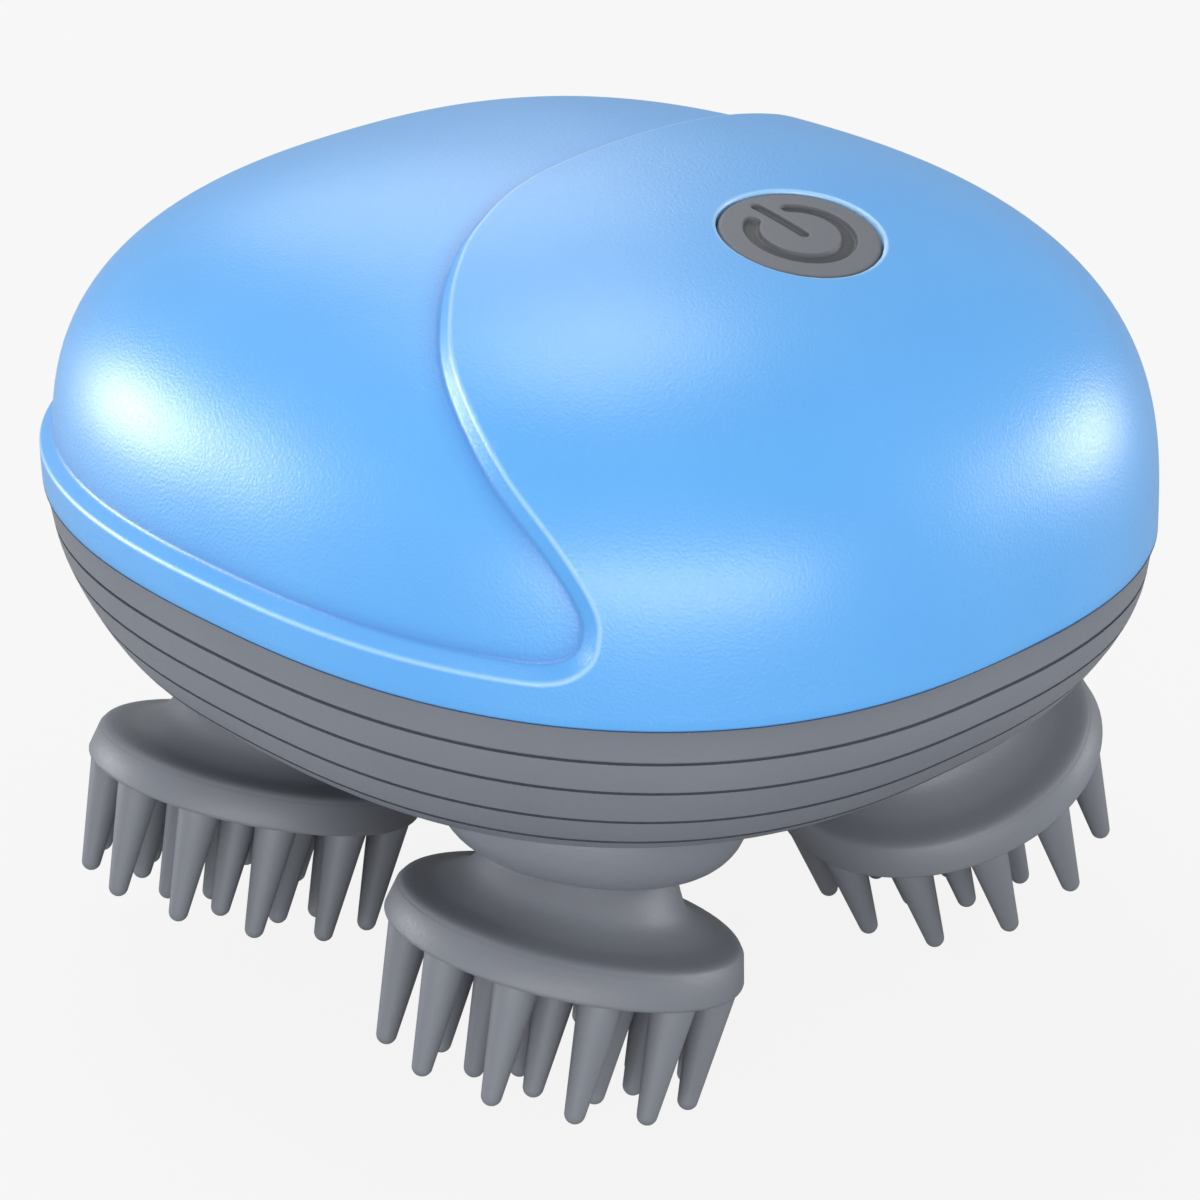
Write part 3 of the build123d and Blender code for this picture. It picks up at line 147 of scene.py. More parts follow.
def set_camera():
    """The camera looks down at the front right corner of the massager."""
    turn, rise, roll = radians(CAMERA_TURN), radians(CAMERA_RISE), radians(CAMERA_ROLL)
    back = Vector((sin(turn) * cos(rise), -cos(turn) * cos(rise), sin(rise)))
    level = Vector((cos(turn), sin(turn), 0))
    upright = back.cross(level)
    across = level * cos(roll) + upright * sin(roll)
    above = upright * cos(roll) - level * sin(roll)
    aim = Vector((0, 0, AIM_Z)) + across * CAMERA_ACROSS + above * CAMERA_UP
    place = aim + back * CAMERA_DISTANCE
    data = bpy.data.cameras.new("view_camera")
    data.lens = CAMERA_LENS
    data.sensor_width = SENSOR_WIDTH
    data.clip_start = NEAREST_SEEN
    camera = bpy.data.objects.new("view_camera", data)
    turned = Matrix((across, above, back)).transposed().to_4x4()
    camera.matrix_world = Matrix.Translation(place * MM) @ turned
    bpy.context.scene.collection.objects.link(camera)
    bpy.context.scene.camera = camera


def area_light(name, turn, rise, distance, size, power):
    """A soft rectangular lamp that points at the massager from a direction."""
    data = bpy.data.lights.new(name, "AREA")
    data.shape = "RECTANGLE"
    data.size, data.size_y = size
    data.energy = power
    turn, rise = radians(turn), radians(rise)
    outward = Vector((cos(turn) * cos(rise), sin(turn) * cos(rise), sin(rise)))
    lamp = bpy.data.objects.new(name, data)
    lamp.location = Vector((0, 0, AIM_Z * MM)) + outward * distance
    lamp.rotation_euler = (-outward).to_track_quat("-Z", "Y").to_euler()
    bpy.context.scene.collection.objects.link(lamp)


def set_world():
    """An even pale room, which the camera sees as white."""
    world = bpy.data.worlds.new("studio")
    world.use_nodes = True
    tree = world.node_tree
    tree.nodes.clear()
    out = tree.nodes.new("ShaderNodeOutputWorld")
    mix = tree.nodes.new("ShaderNodeMixShader")
    rays = tree.nodes.new("ShaderNodeLightPath")
    tree.links.new(rays.outputs["Is Camera Ray"], mix.inputs["Fac"])
    for socket, colour, strength in ((1, ROOM_COLOUR, ROOM_STRENGTH), (2, WHITE, 1.0)):
        background = tree.nodes.new("ShaderNodeBackground")
        background.inputs["Color"].default_value = colour
        background.inputs["Strength"].default_value = strength
        tree.links.new(background.outputs[0], mix.inputs[socket])
    tree.links.new(mix.outputs[0], out.inputs["Surface"])
    bpy.context.scene.world = world


def set_floor():
    """A large pale floor that reads as white and keeps the massager's soft shadow."""
    bm = bmesh.new()
    bmesh.ops.create_grid(bm, x_segments=FLOOR_CELLS, y_segments=FLOOR_CELLS, size=FLOOR_REACH)
    mesh = bpy.data.meshes.new("studio_floor")
    bm.to_mesh(mesh)
    bm.free()
    floor = bpy.data.objects.new("studio_floor", mesh)
    bpy.context.scene.collection.objects.link(floor)
    material = bpy.data.materials.new("pale_floor")
    material.use_nodes = True
    tree = material.node_tree
    shader = tree.nodes["Principled BSDF"]
    shader.inputs["Base Color"].default_value = FLOOR_COLOUR
    shader.inputs["Roughness"].default_value = FLOOR_ROUGHNESS
    shader.inputs["Specular IOR Level"].default_value = FLOOR_GLOSS
    white = tree.nodes.new("ShaderNodeEmission")
    white.inputs["Color"].default_value = WHITE
    share = tree.nodes.new("ShaderNodeMath")
    share.operation = "MULTIPLY"
    share.inputs[1].default_value = FLOOR_WHITENESS
    rays = tree.nodes.new("ShaderNodeLightPath")
    mix = tree.nodes.new("ShaderNodeMixShader")
    tree.links.new(rays.outputs["Is Camera Ray"], share.inputs[0])
    tree.links.new(share.outputs[0], mix.inputs["Fac"])
    tree.links.new(shader.outputs[0], mix.inputs[1])
    tree.links.new(white.outputs[0], mix.inputs[2])
    tree.links.new(mix.outputs[0], tree.nodes["Material Output"].inputs["Surface"])
    mesh.materials.append(material)


# ------------------------------------------------------- materials
VALUE, PLACE, COLOUR = "NodeSocketFloat", "NodeSocketVector", "NodeSocketColor"
GRAIN_DETAIL = 3.0
GRAIN_ROUGHNESS = 0.6
PIT_SHARE = 0.5
DRIFT_DETAIL = 2.0
DRIFT_COARSENESS = 40  # times the size of the grain
SPECK_LOW = 0.3
SPECK_HIGH = 0.7
ROUGHNESS_SPREAD = 0.06
GRAIN_DEPTH = 0.0001  # in m
COAT_ROUGHNESS = 0.36


def new_group(name, inputs, outputs):
    """A shader node group with named inputs and outputs, and its two end nodes."""
    group = bpy.data.node_groups.new(name, "ShaderNodeTree")
    for direction, sockets in (("INPUT", inputs), ("OUTPUT", outputs)):
        for label, kind in sockets:
            group.interface.new_socket(name=label, in_out=direction, socket_type=kind)
    return group, group.nodes.new("NodeGroupInput"), group.nodes.new("NodeGroupOutput")


def make_grain_group():
    """Fine moulded grain over slow colour drift: a height for bump, and two masks from 0 to 1."""
    inputs = (("Vector", PLACE), ("Grain Scale", VALUE), ("Drift Scale", VALUE))
    outputs = (("Height", VALUE), ("Speck", VALUE), ("Drift", VALUE))
    group, start, end = new_group("moulded_grain", inputs, outputs)
    links = group.links
    fine = group.nodes.new("ShaderNodeTexNoise")
    fine.inputs["Detail"].default_value = GRAIN_DETAIL
    fine.inputs["Roughness"].default_value = GRAIN_ROUGHNESS
    pits = group.nodes.new("ShaderNodeTexVoronoi")
    pits.feature = "SMOOTH_F1"
    slow = group.nodes.new("ShaderNodeTexNoise")
    slow.inputs["Detail"].default_value = DRIFT_DETAIL
    share = group.nodes.new("ShaderNodeMath")
    share.operation = "MULTIPLY"
    share.inputs[1].default_value = PIT_SHARE
    add = group.nodes.new("ShaderNodeMath")
    add.operation = "ADD"
    for node, label in ((fine, "Grain Scale"), (pits, "Grain Scale"), (slow, "Drift Scale")):
        links.new(start.outputs["Vector"], node.inputs["Vector"])
        links.new(start.outputs[label], node.inputs["Scale"])
    links.new(pits.outputs["Distance"], share.inputs[0])
    links.new(fine.outputs["Fac"], add.inputs[0])
    links.new(share.outputs[0], add.inputs[1])
    links.new(add.outputs[0], end.inputs["Height"])
    links.new(fine.outputs["Fac"], end.inputs["Speck"])
    links.new(slow.outputs["Fac"], end.inputs["Drift"])
    return group


def make_step_light_group():
    """Painted shade at a step's foot and a painted highlight on its crest, where the masks say."""
    inputs = (("Colour", COLOUR), ("Foot", VALUE), ("Foot Colour", COLOUR),
              ("Crest", VALUE), ("Crest Colour", COLOUR))
    group, start, end = new_group("painted_step_light", inputs, (("Colour", COLOUR),))
    colour = start.outputs["Colour"]
    for mark in ("Foot", "Crest"):
        mix = group.nodes.new("ShaderNodeMix")
        mix.data_type = "RGBA"
        group.links.new(start.outputs[mark], mix.inputs["Factor"])
        group.links.new(colour, mix.inputs["A"])
        group.links.new(start.outputs[mark + " Colour"], mix.inputs["B"])
        colour = mix.outputs["Result"]
    group.links.new(colour, end.inputs["Colour"])
    return group


GRAIN = make_grain_group()
EDGES = make_step_light_group()


def finish(name, colour, other, roughness, grain, bump, metallic=0.0, coat=0.0, gloss=0.5):
    """A material with moulded or machined grain. The colour drifts towards the other one."""
    material = bpy.data.materials.new(name)
    material.use_nodes = True
    tree = material.node_tree
    shader = tree.nodes["Principled BSDF"]
    shader.inputs["Metallic"].default_value = metallic
    shader.inputs["Coat Weight"].default_value = coat
    shader.inputs["Coat Roughness"].default_value = COAT_ROUGHNESS
    shader.inputs["Specular IOR Level"].default_value = gloss
    place = tree.nodes.new("ShaderNodeTexCoord")
    surface = tree.nodes.new("ShaderNodeGroup")
    surface.node_tree = GRAIN
    surface.inputs["Grain Scale"].default_value = grain
    surface.inputs["Drift Scale"].default_value = grain / DRIFT_COARSENESS
    tree.links.new(place.outputs["Object"], surface.inputs["Vector"])
    mix = tree.nodes.new("ShaderNodeMix")
    mix.data_type = "RGBA"
    mix.inputs["A"].default_value = (*colour, 1)
    mix.inputs["B"].default_value = (*other, 1)
    tree.links.new(surface.outputs["Drift"], mix.inputs["Factor"])
    tree.links.new(mix.outputs["Result"], shader.inputs["Base Color"])
    rough = tree.nodes.new("ShaderNodeMapRange")
    rough.inputs["From Min"].default_value = SPECK_LOW
    rough.inputs["From Max"].default_value = SPECK_HIGH
    rough.inputs["To Min"].default_value = roughness - ROUGHNESS_SPREAD
    rough.inputs["To Max"].default_value = roughness + ROUGHNESS_SPREAD
    tree.links.new(surface.outputs["Speck"], rough.inputs["Value"])
    tree.links.new(rough.outputs["Result"], shader.inputs["Roughness"])
    relief = tree.nodes.new("ShaderNodeBump")
    relief.inputs["Strength"].default_value = bump
    relief.inputs["Distance"].default_value = GRAIN_DEPTH
    tree.links.new(surface.outputs["Height"], relief.inputs["Height"])
    tree.links.new(relief.outputs["Normal"], shader.inputs["Normal"])
    return material


def paint_step_light(material, crest_highlight, shaded):
    """Paints highlight and shade into a material's colour, by its piece's crest and foot masks."""
    tree = material.node_tree
    base = tree.nodes["Principled BSDF"].inputs["Base Color"]
    painted_light = tree.nodes.new("ShaderNodeGroup")
    painted_light.node_tree = EDGES
    painted_light.inputs["Crest Colour"].default_value = (*crest_highlight, 1)
    painted_light.inputs["Foot Colour"].default_value = (*shaded, 1)
    for label, mask in (("Foot", "foot"), ("Crest", "crest")):
        read = tree.nodes.new("ShaderNodeAttribute")
        read.attribute_name = mask
        tree.links.new(read.outputs["Fac"], painted_light.inputs[label])
    tree.links.new(base.links[0].from_socket, painted_light.inputs["Colour"])
    tree.links.new(painted_light.outputs["Colour"], base)


FINISHES = {
    "cover_plastic": finish("satin_blue_cover", (0.1, 0.42, 0.92), (0.12, 0.455, 0.95),
                            roughness=0.38, grain=3400, bump=0.4, coat=0.5, gloss=0.8),
    "housing_plastic": finish("satin_grey_housing", (0.185, 0.2, 0.235), (0.21, 0.225, 0.26),
                              roughness=0.42, grain=3200, bump=0.3),
    "pad_silicone": finish("matte_grey_silicone", (0.19, 0.202, 0.23), (0.215, 0.228, 0.257),
                           roughness=0.5, grain=3000, bump=0.2),
    "button_plastic": finish("dark_button_plastic", (0.16, 0.17, 0.19), (0.18, 0.19, 0.21),
                             roughness=0.5, grain=3200, bump=0.3),
    "seal_rubber": finish("black_seal_rubber", (0.02, 0.02, 0.022), (0.03, 0.03, 0.032),
                          roughness=0.7, grain=3000, bump=0.2),
    "inner_plastic": finish("natural_inner_plastic", (0.6, 0.6, 0.58), (0.66, 0.66, 0.64),
                            roughness=0.5, grain=2500, bump=0.2),
    "gear_plastic": finish("white_gear_acetal", (0.78, 0.77, 0.72), (0.84, 0.83, 0.79),
                           roughness=0.35, grain=2500, bump=0.1),
    "core_plastic": finish("dark_core_plastic", (0.03, 0.03, 0.032), (0.04, 0.04, 0.043),
                           roughness=0.5, grain=2500, bump=0.2),
    "steel": finish("zinc_screw_steel", (0.5, 0.5, 0.51), (0.6, 0.6, 0.6),
                    roughness=0.35, grain=4000, bump=0.2, metallic=1.0),
    "shaft_steel": finish("ground_shaft_steel", (0.6, 0.6, 0.61), (0.66, 0.66, 0.66),
                          roughness=0.2, grain=5000, bump=0.1, metallic=1.0),
    "bronze": finish("sintered_bronze", (0.45, 0.26, 0.11), (0.55, 0.34, 0.16),
                     roughness=0.45, grain=5000, bump=0.4, metallic=1.0),
    "worm_brass": finish("turned_worm_brass", (0.6, 0.42, 0.16), (0.68, 0.5, 0.22),
                         roughness=0.25, grain=5000, bump=0.1, metallic=1.0),
    "motor_steel": finish("plated_motor_can", (0.55, 0.55, 0.56), (0.62, 0.62, 0.63),
                          roughness=0.3, grain=3500, bump=0.15, metallic=1.0),
    "magnet": finish("ferrite_magnet", (0.04, 0.04, 0.045), (0.06, 0.06, 0.065),
                     roughness=0.7, grain=4000, bump=0.4),
    "copper_rotor": finish("enamelled_copper", (0.5, 0.17, 0.05), (0.6, 0.24, 0.08),
                           roughness=0.3, grain=5000, bump=0.4, metallic=1.0),
    "board_green": finish("green_solder_mask", (0.01, 0.12, 0.04), (0.015, 0.15, 0.055),
                          roughness=0.3, grain=3500, bump=0.15),
    "chip_black": finish("black_chip_epoxy", (0.015, 0.015, 0.016), (0.022, 0.022, 0.024),
                         roughness=0.55, grain=5000, bump=0.3),
    "cell_wrap": finish("blue_cell_film", (0.02, 0.06, 0.25), (0.03, 0.08, 0.3),
                        roughness=0.25, grain=900, bump=0.1, coat=0.3),
}
# Painted highlight on the cover's step crests and round its hole, painted shade at its panel's foot
paint_step_light(FINISHES["cover_plastic"], crest_highlight=(0.4, 0.7, 1.0), shaded=(0.06, 0.26, 0.68))
# Painted shade in the button's engraved symbol; the button's mesh carries only the foot mask
paint_step_light(FINISHES["button_plastic"], crest_highlight=(0.25, 0.26, 0.28), shaded=(0.055, 0.059, 0.068))


def dress_nodes():
    """Gives every solid from the model the finish of its slot."""
    slots = {part["node"]: part["material_slot"] for part in frame["record"]["subparts"]}
    for name, node in nodes.items():
        node.data.materials.clear()
        node.data.materials.append(FINISHES[slots[name]])


# ------------------------------------------------------- mesh helpers
SHARP_ANGLE = 50.0  # edges that bend more than this stay crisp
FLAT_ANGLE = 1.0
TOUCHING = 1e-4


def new_piece(name, bm, slot, body, replaced):
    """Turns a bmesh in mm into a smooth piece that rides on a body and stands for a solid."""
    bmesh.ops.recalc_face_normals(bm, faces=bm.faces)
    bmesh.ops.scale(bm, vec=(MM, MM, MM), verts=bm.verts)
    mesh = bpy.data.meshes.new(name)
    bm.to_mesh(mesh)
    bm.free()
    for face in mesh.polygons:
        face.use_smooth = True
    mesh.set_sharp_from_angle(angle=radians(SHARP_ANGLE))
    mesh.materials.append(FINISHES[slot])
    piece = bpy.data.objects.new(name, mesh)
    bpy.context.scene.collection.objects.link(piece)
    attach(piece, body)
    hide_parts(replaced)


def cut_along(bm, field, value):
    """Splits the faces along the line where a field of place has a value."""
    levels = {vert: field(vert.co) - value for vert in bm.verts}
    on_line = [vert for vert, level in levels.items() if abs(level) < TOUCHING]
    for vert in on_line:
        levels[vert] = 0.0
    for edge in list(bm.edges):
        first, second = edge.verts
        if levels[first] * levels[second] < 0:
            share = levels[first] / (levels[first] - levels[second])
            _, vert = bmesh.utils.edge_split(edge, first, share)
            levels[vert] = 0.0
            on_line.append(vert)
    bmesh.ops.connect_verts(bm, verts=on_line)


def only(kind, items):
    """The vertices, edges or faces among the geometry that an operator gives back."""
    return [item for item in items if isinstance(item, kind)]


def blend_table(table, value):
    """Straight-line reading of a table of (place, reading) rows."""
    if value <= table[0][0]:
        return table[0][1]
    for (low, first), (high, second) in zip(table, table[1:]):
        if value <= high:
            return first + (second - first) * (value - low) / (high - low)
    return table[-1][1]


def smooth_line(points, steps):
    """Points along a smooth line through the given 2-D points, with even parameter steps."""
    before = tuple(2 * a - b for a, b in zip(points[0], points[1]))
    after = tuple(2 * a - b for a, b in zip(points[-1], points[-2]))
    line = [Vector(point) for point in (before, *points, after)]
    out = []
    for first, second, third, fourth in zip(line, line[1:], line[2:], line[3:]):
        for number in range(steps):
            share = number / steps
            pull = second * 2 + (third - first) * share
            pull += (first * 2 - second * 5 + third * 4 - fourth) * share**2
            pull += (second * 3 - first - third * 3 + fourth) * share**3
            out.append(pull / 2)
    return out + [line[-2]]


# ------------------------------------------------------- the crown's surface
PROFILE_STEPS = 2000
OUT_OF_REACH = 90.0  # farther than the crown from any place inside it
HALVINGS = 36


def outline_reach(half_x, half_y, turn):
    """Distance from the middle of the housing to its outline in one direction."""
    across = abs(cos(turn)) / half_x
    along = abs(sin(turn)) / half_y
    return (across**OUTLINE_POWER + along**OUTLINE_POWER) ** (-1 / OUTLINE_POWER)


def crown_profile():
    """How far along the crown's side its points lie, from 0 to 1, and their (reach, level)."""
    fine = []
    for number in range(PROFILE_STEPS + 1):
        turn = pi / 2 * number / PROFILE_STEPS
        fine.append((sin(turn) ** (2 / CROWN_TOP_POWER), cos(turn) ** (2 / CROWN_SIDE_POWER)))
    fine[-1] = (1.0, 0.0)
    lengths = [0.0]
    middle = (HALF_LENGTH + HALF_WIDTH) / 2
    for (reach, level), (next_reach, next_level) in zip(fine, fine[1:]):
        outward, downward = middle * (next_reach - reach), CROWN_HEIGHT * (next_level - level)
        lengths.append(lengths[-1] + hypot(outward, downward))
    return [length / lengths[-1] for length in lengths], fine


PROFILE_SHARES, PROFILE = crown_profile()


def crown_point(across, along, inset):
    """Place on the crown, moved in by the inset, for a point of a square from -1 to 1."""
    share = max(abs(across), abs(along))
    index = min(max(bisect_left(PROFILE_SHARES, share), 1), len(PROFILE) - 1)
    low, high = PROFILE_SHARES[index - 1], PROFILE_SHARES[index]
    mix = (share - low) / (high - low)
    reach = PROFILE[index - 1][0] * (1 - mix) + PROFILE[index][0] * mix
    level = PROFILE[index - 1][1] * (1 - mix) + PROFILE[index][1] * mix
    if share == 0:
        turn = 0.0
    elif abs(across) >= abs(along):
        turn = (0 if across > 0 else pi) + pi / 4 * along / across
    else:
        turn = (pi / 2 if along > 0 else -pi / 2) - pi / 4 * across / along
    radius = outline_reach(HALF_LENGTH - inset, HALF_WIDTH - inset, turn) * reach
    x = CROWN_SHIFT * level**2 + radius * cos(turn)
    return Vector((x, radius * sin(turn), PARTING_Z + (CROWN_HEIGHT - inset) * level))


def crown_excess(place, inset=0.0):
    """Above 0 outside the crown with that inset, below 0 inside it."""
    level = max((place.z - PARTING_Z) / (CROWN_HEIGHT - inset), 0.0)
    across = abs(place.x - CROWN_SHIFT * level**2) / (HALF_LENGTH - inset)
    along = abs(place.y) / (HALF_WIDTH - inset)
    plan = (across**OUTLINE_POWER + along**OUTLINE_POWER) ** (1 / OUTLINE_POWER)
    return plan**CROWN_TOP_POWER + level**CROWN_SIDE_POWER - 1


def crown_hit(start, direction, inset=0.0):
    """Where a straight line from inside the crown meets its surface."""
    low, high = 0.0, OUT_OF_REACH
    for _ in range(HALVINGS):
        middle = (low + high) / 2
        if crown_excess(start + direction * middle, inset) > 0:
            high = middle
        else:
            low = middle
    return start + direction * low


def button_axes():
    """The button's middle on the crown, and the directions along, across and out of the face."""
    step = 0.5
    starts = [Vector((BUTTON_X + side, 0, PARTING_Z)) for side in (-step, 0, step)]
    heights = [crown_hit(start, Vector((0, 0, 1))).z for start in starts]
    slope = atan2(heights[2] - heights[0], 2 * step)
    out = Vector((-sin(slope), 0, cos(slope)))
    along = Vector((cos(slope), 0, sin(slope)))
    return Vector((BUTTON_X, 0, heights[1])), along, Vector((0, 1, 0)), out


BUTTON_MIDDLE, BUTTON_ALONG, BUTTON_ACROSS, BUTTON_OUT = button_axes()


def from_button(place):
    """Distance of a place from the button's axis."""
    offset = place - BUTTON_MIDDLE
    return hypot(offset.dot(BUTTON_ALONG), offset.dot(BUTTON_ACROSS))


def over_parting(place):
    """Height of a place over the parting line."""
    return place.z - PARTING_Z


# ------------------------------------------------------- panel edge
FRONT_EDGE_STEPS = 60
REAR_EDGE_STEPS = 120
STRIP_STEPS = 2000


def front_edge_x(line, view):
    """How far along the housing the panel's edge is, at a height of the slanted front view."""
    index = min(max(bisect_left(line, -view, key=lambda point: -point[1]), 1), len(line) - 1)
    (first_x, first_v), (second_x, second_v) = line[index - 1], line[index]
    share = (view - first_v) / (second_v - first_v)
    return first_x + (second_x - first_x) * min(max(share, 0.0), 1.0)


class PanelEdge:
    """Signed distance from the panel's edge, above 0 on the panel."""

    def __init__(self):
        slant = radians(PANEL_VIEW)
        slant_out = Vector((0, -cos(slant), sin(slant)))
        self.slant_up = Vector((0, sin(slant), cos(slant)))
        self.front = [tuple(point) for point in smooth_line(PANEL_FRONT_EDGE, FRONT_EDGE_STEPS)]
        self.rear = [tuple(point) for point in smooth_line(PANEL_REAR_EDGE, REAR_EDGE_STEPS)]
        strip_z = PARTING_Z + PANEL_STRIP
        line = []
        for x, view in reversed(self.front):
            start = Vector((x, 0, PARTING_Z)) + self.slant_up * view
            line.append(crown_hit(start, slant_out))
        line = [place for place in line if place.z > strip_z]
        for x, y in self.rear[1:]:
            if crown_excess(Vector((x, y, strip_z))) < 0:
                line.append(crown_hit(Vector((x, y, PARTING_Z)), Vector((0, 0, 1))))
        start, end = line[-1], line[0]
        first_turn = atan2(start.y, start.x)
        last_turn = atan2(end.y, end.x) + 2 * pi
        for number in range(STRIP_STEPS + 1):
            turn = first_turn + (last_turn - first_turn) * number / STRIP_STEPS
            line.append(crown_hit(Vector((0, 0, strip_z)), Vector((cos(turn), sin(turn), 0))))
        self.tree = KDTree(len(line))
        for number, place in enumerate(line):
            self.tree.insert(place, number)
        self.tree.balance()

    def inside(self, place):
        """Whether a place on the crown lies on the panel."""
        if place.z < PARTING_Z + PANEL_STRIP:
            return False
        if place.y < 0:
            view = (place - Vector((0, 0, PARTING_Z))).dot(self.slant_up)
            return place.x < front_edge_x(self.front, view)
        rear = self.rear
        index = bisect_left(rear, place.y, key=lambda point: point[1])
        return place.x < rear[min(max(index, 1), len(rear) - 1)][0]

    def __call__(self, place):
        _, _, distance = self.tree.find(place)
        return distance if self.inside(place) else -distance


PANEL_EDGE = PanelEdge()


# ------------------------------------------------------- cover
# How far the surface is lowered at a distance past the panel's edge
PANEL_SLOPE = ((0.0, 0.0), (0.16, 0.05), (0.36, 0.2), (1.3, 1.12), (1.5, 1.25), (1.75, PANEL_DEPTH))
# How far it is lowered near the button's hole and near the parting line
HOLE_ROUND = ((HOLE_RADIUS, 0.22), (HOLE_RADIUS + 0.12, 0.07), (HOLE_RADIUS + 0.3, 0.0))
LIP_ROUND = ((0.0, 0.22), (0.1, 0.08), (0.28, 0.0))
# How strongly the painted crest highlight and foot shade show past the panel's edge and round the
# hole
PANEL_CREST_HIGHLIGHT = ((-0.25, 0.0), (0.0, 0.75), (0.16, 0.75), (0.4, 0.0))
PANEL_FOOT_SHADE = ((1.3, 0.0), (1.55, 0.7), (1.75, 0.85), (2.1, 0.5), (2.8, 0.2), (4.0, 0.0))
HOLE_CREST_HIGHLIGHT = ((HOLE_RADIUS, 0.8), (HOLE_RADIUS + 0.2, 0.8), (HOLE_RADIUS + 0.4, 0.0))
# The rows of these tables at which the mesh gets an edge
PANEL_CUTS = PANEL_SLOPE + PANEL_CREST_HIGHLIGHT[::3] + PANEL_FOOT_SHADE[3:]
HOLE_CUTS = HOLE_ROUND + HOLE_CREST_HIGHLIGHT[2:]
LIP_CUTS = LIP_ROUND[1:]
# How much deeper the inner face lies at a height over the parting line, to clear the panel
INNER_STEP = ((2.5, 0.0), (4.5, PANEL_DEPTH))
CROWN_CELLS = 120
HOLE_DEPTH = 3.6
HOLE_MOUTH = HOLE_CREST_HIGHLIGHT[-1][0]  # only the outer face's edge of the hole lies within this radius
HOLE_LAND = HOLE_RADIUS + 1.5  # radius of the gap in the inner face


def shape_outer_face(bm):
    """The cover's outer face, with its stepped panel, button hole and rounded lip."""
    layers = bm.verts.layers.float
    highlight_layer, shade_layer = layers.new("crest"), layers.new("foot")
    across_layer, along_layer = layers.new("across"), layers.new("along")
    bmesh.ops.create_grid(bm, x_segments=CROWN_CELLS, y_segments=CROWN_CELLS, size=1.0)
    for vert in bm.verts:
        vert[across_layer], vert[along_layer] = vert.co.x, vert.co.y
        vert.co = crown_point(vert.co.x, vert.co.y, 0.0)
    for field, cuts in ((PANEL_EDGE, PANEL_CUTS), (from_button, HOLE_CUTS),
                        (over_parting, LIP_CUTS)):
        for value, _ in cuts:
            cut_along(bm, field, value)
    in_hole = [face for face in bm.faces if from_button(face.calc_center_median()) < HOLE_RADIUS]
    bmesh.ops.delete(bm, geom=in_hole, context="FACES")
    for vert in bm.verts:
        past_edge = PANEL_EDGE(vert.co)
        beside_hole = from_button(vert.co)
        # Masks for painted light: a highlight on the panel's crest and round the hole, shade at the
        # panel's foot
        hole_highlight = blend_table(HOLE_CREST_HIGHLIGHT, beside_hole)
        vert[highlight_layer] = max(blend_table(PANEL_CREST_HIGHLIGHT, past_edge), hole_highlight)
        vert[shade_layer] = blend_table(PANEL_FOOT_SHADE, past_edge)
        lip_round = blend_table(LIP_ROUND, over_parting(vert.co))
        inset = blend_table(PANEL_SLOPE, past_edge)
        inset += blend_table(HOLE_ROUND, beside_hole) + lip_round
        across = min(max(vert[across_layer], -1.0), 1.0)
        along = min(max(vert[along_layer], -1.0), 1.0)
        vert.co = crown_point(across, along, inset)


def shape_inner_face(bm):
    """The cover's inner face, with a gap under the button."""
    outer = set(bm.faces)
    grid = bmesh.ops.create_grid(bm, x_segments=CROWN_CELLS, y_segments=CROWN_CELLS, size=1.0)
    for vert in grid["verts"]:
        above = crown_point(vert.co.x, vert.co.y, 0.0)
        deeper = blend_table(INNER_STEP, over_parting(above))
        vert.co = crown_point(vert.co.x, vert.co.y, COVER_WALL + deeper)
    inner = [face for face in bm.faces if face not in outer]
    in_gap = [face for face in inner if from_button(face.calc_center_median()) < HOLE_LAND]
    bmesh.ops.delete(bm, geom=in_gap, context="FACES")


def close_cover(bm):
    """Joins the two faces by the wall of the button's hole and by a strip at the lip.

    The strip's faces cross the cover's mouth at the parting line, where the housing hides them.
    """
    rims = [edge for edge in bm.edges if edge.is_boundary]
    lip = [edge for edge in rims if edge.verts[0].co.z < PARTING_Z + COVER_WALL]
    hole = [edge for edge in rims if edge.verts[0].co.z > PARTING_Z + COVER_WALL]
    upper = [edge for edge in hole if from_button(edge.verts[0].co) < HOLE_MOUTH]
    lower = [edge for edge in hole if from_button(edge.verts[0].co) >= HOLE_MOUTH]
    bmesh.ops.bridge_loops(bm, edges=lip)
    wall = bmesh.ops.extrude_edge_only(bm, edges=upper)["geom"]
    bmesh.ops.translate(bm, verts=only(bmesh.types.BMVert, wall), vec=BUTTON_OUT * -HOLE_DEPTH)
    wall_foot = [edge for edge in only(bmesh.types.BMEdge, wall) if edge.is_boundary]
    bmesh.ops.bridge_loops(bm, edges=wall_foot + lower)


def make_cover():
    """The blue cover, from an outer and an inner face that are joined at their edges."""
    bm = bmesh.new()
    shape_outer_face(bm)
    shape_inner_face(bm)
    close_cover(bm)
    new_piece("crown_cover", bm, "cover_plastic", "housing", "upper_cover")


# ------------------------------------------------------- button
# How deep the symbol is cut, and how strongly it is shaded, at a distance from its edge
SYMBOL_WALL = ((-0.22, SYMBOL_DEPTH), (-0.12, SYMBOL_DEPTH - 0.06), (0.0, 0.06), (0.1, 0.0))
SYMBOL_SHADE = ((-0.22, 1.0), (0.0, 0.6), (0.1, 0.0))
SYMBOL_DARKNESS = 0.8
CAP_CELLS = 64
CAP_GRID = 8.0  # half the side of the square that the face is cut from
CAP_SEARCH = 12  # how far under the crown the search for the face starts
CAP_ROUND = ((BUTTON_RADIUS - 0.3, 0.0), (BUTTON_RADIUS - 0.12, 0.06), (BUTTON_RADIUS, 0.22))
# Radius and height of the cap's steps, from the middle of its face
CAP_STEPS = ((7.5, -3.8), (8.8, -3.8), (8.8, -4.8), (1.5, -4.8), (1.5, -6.4))


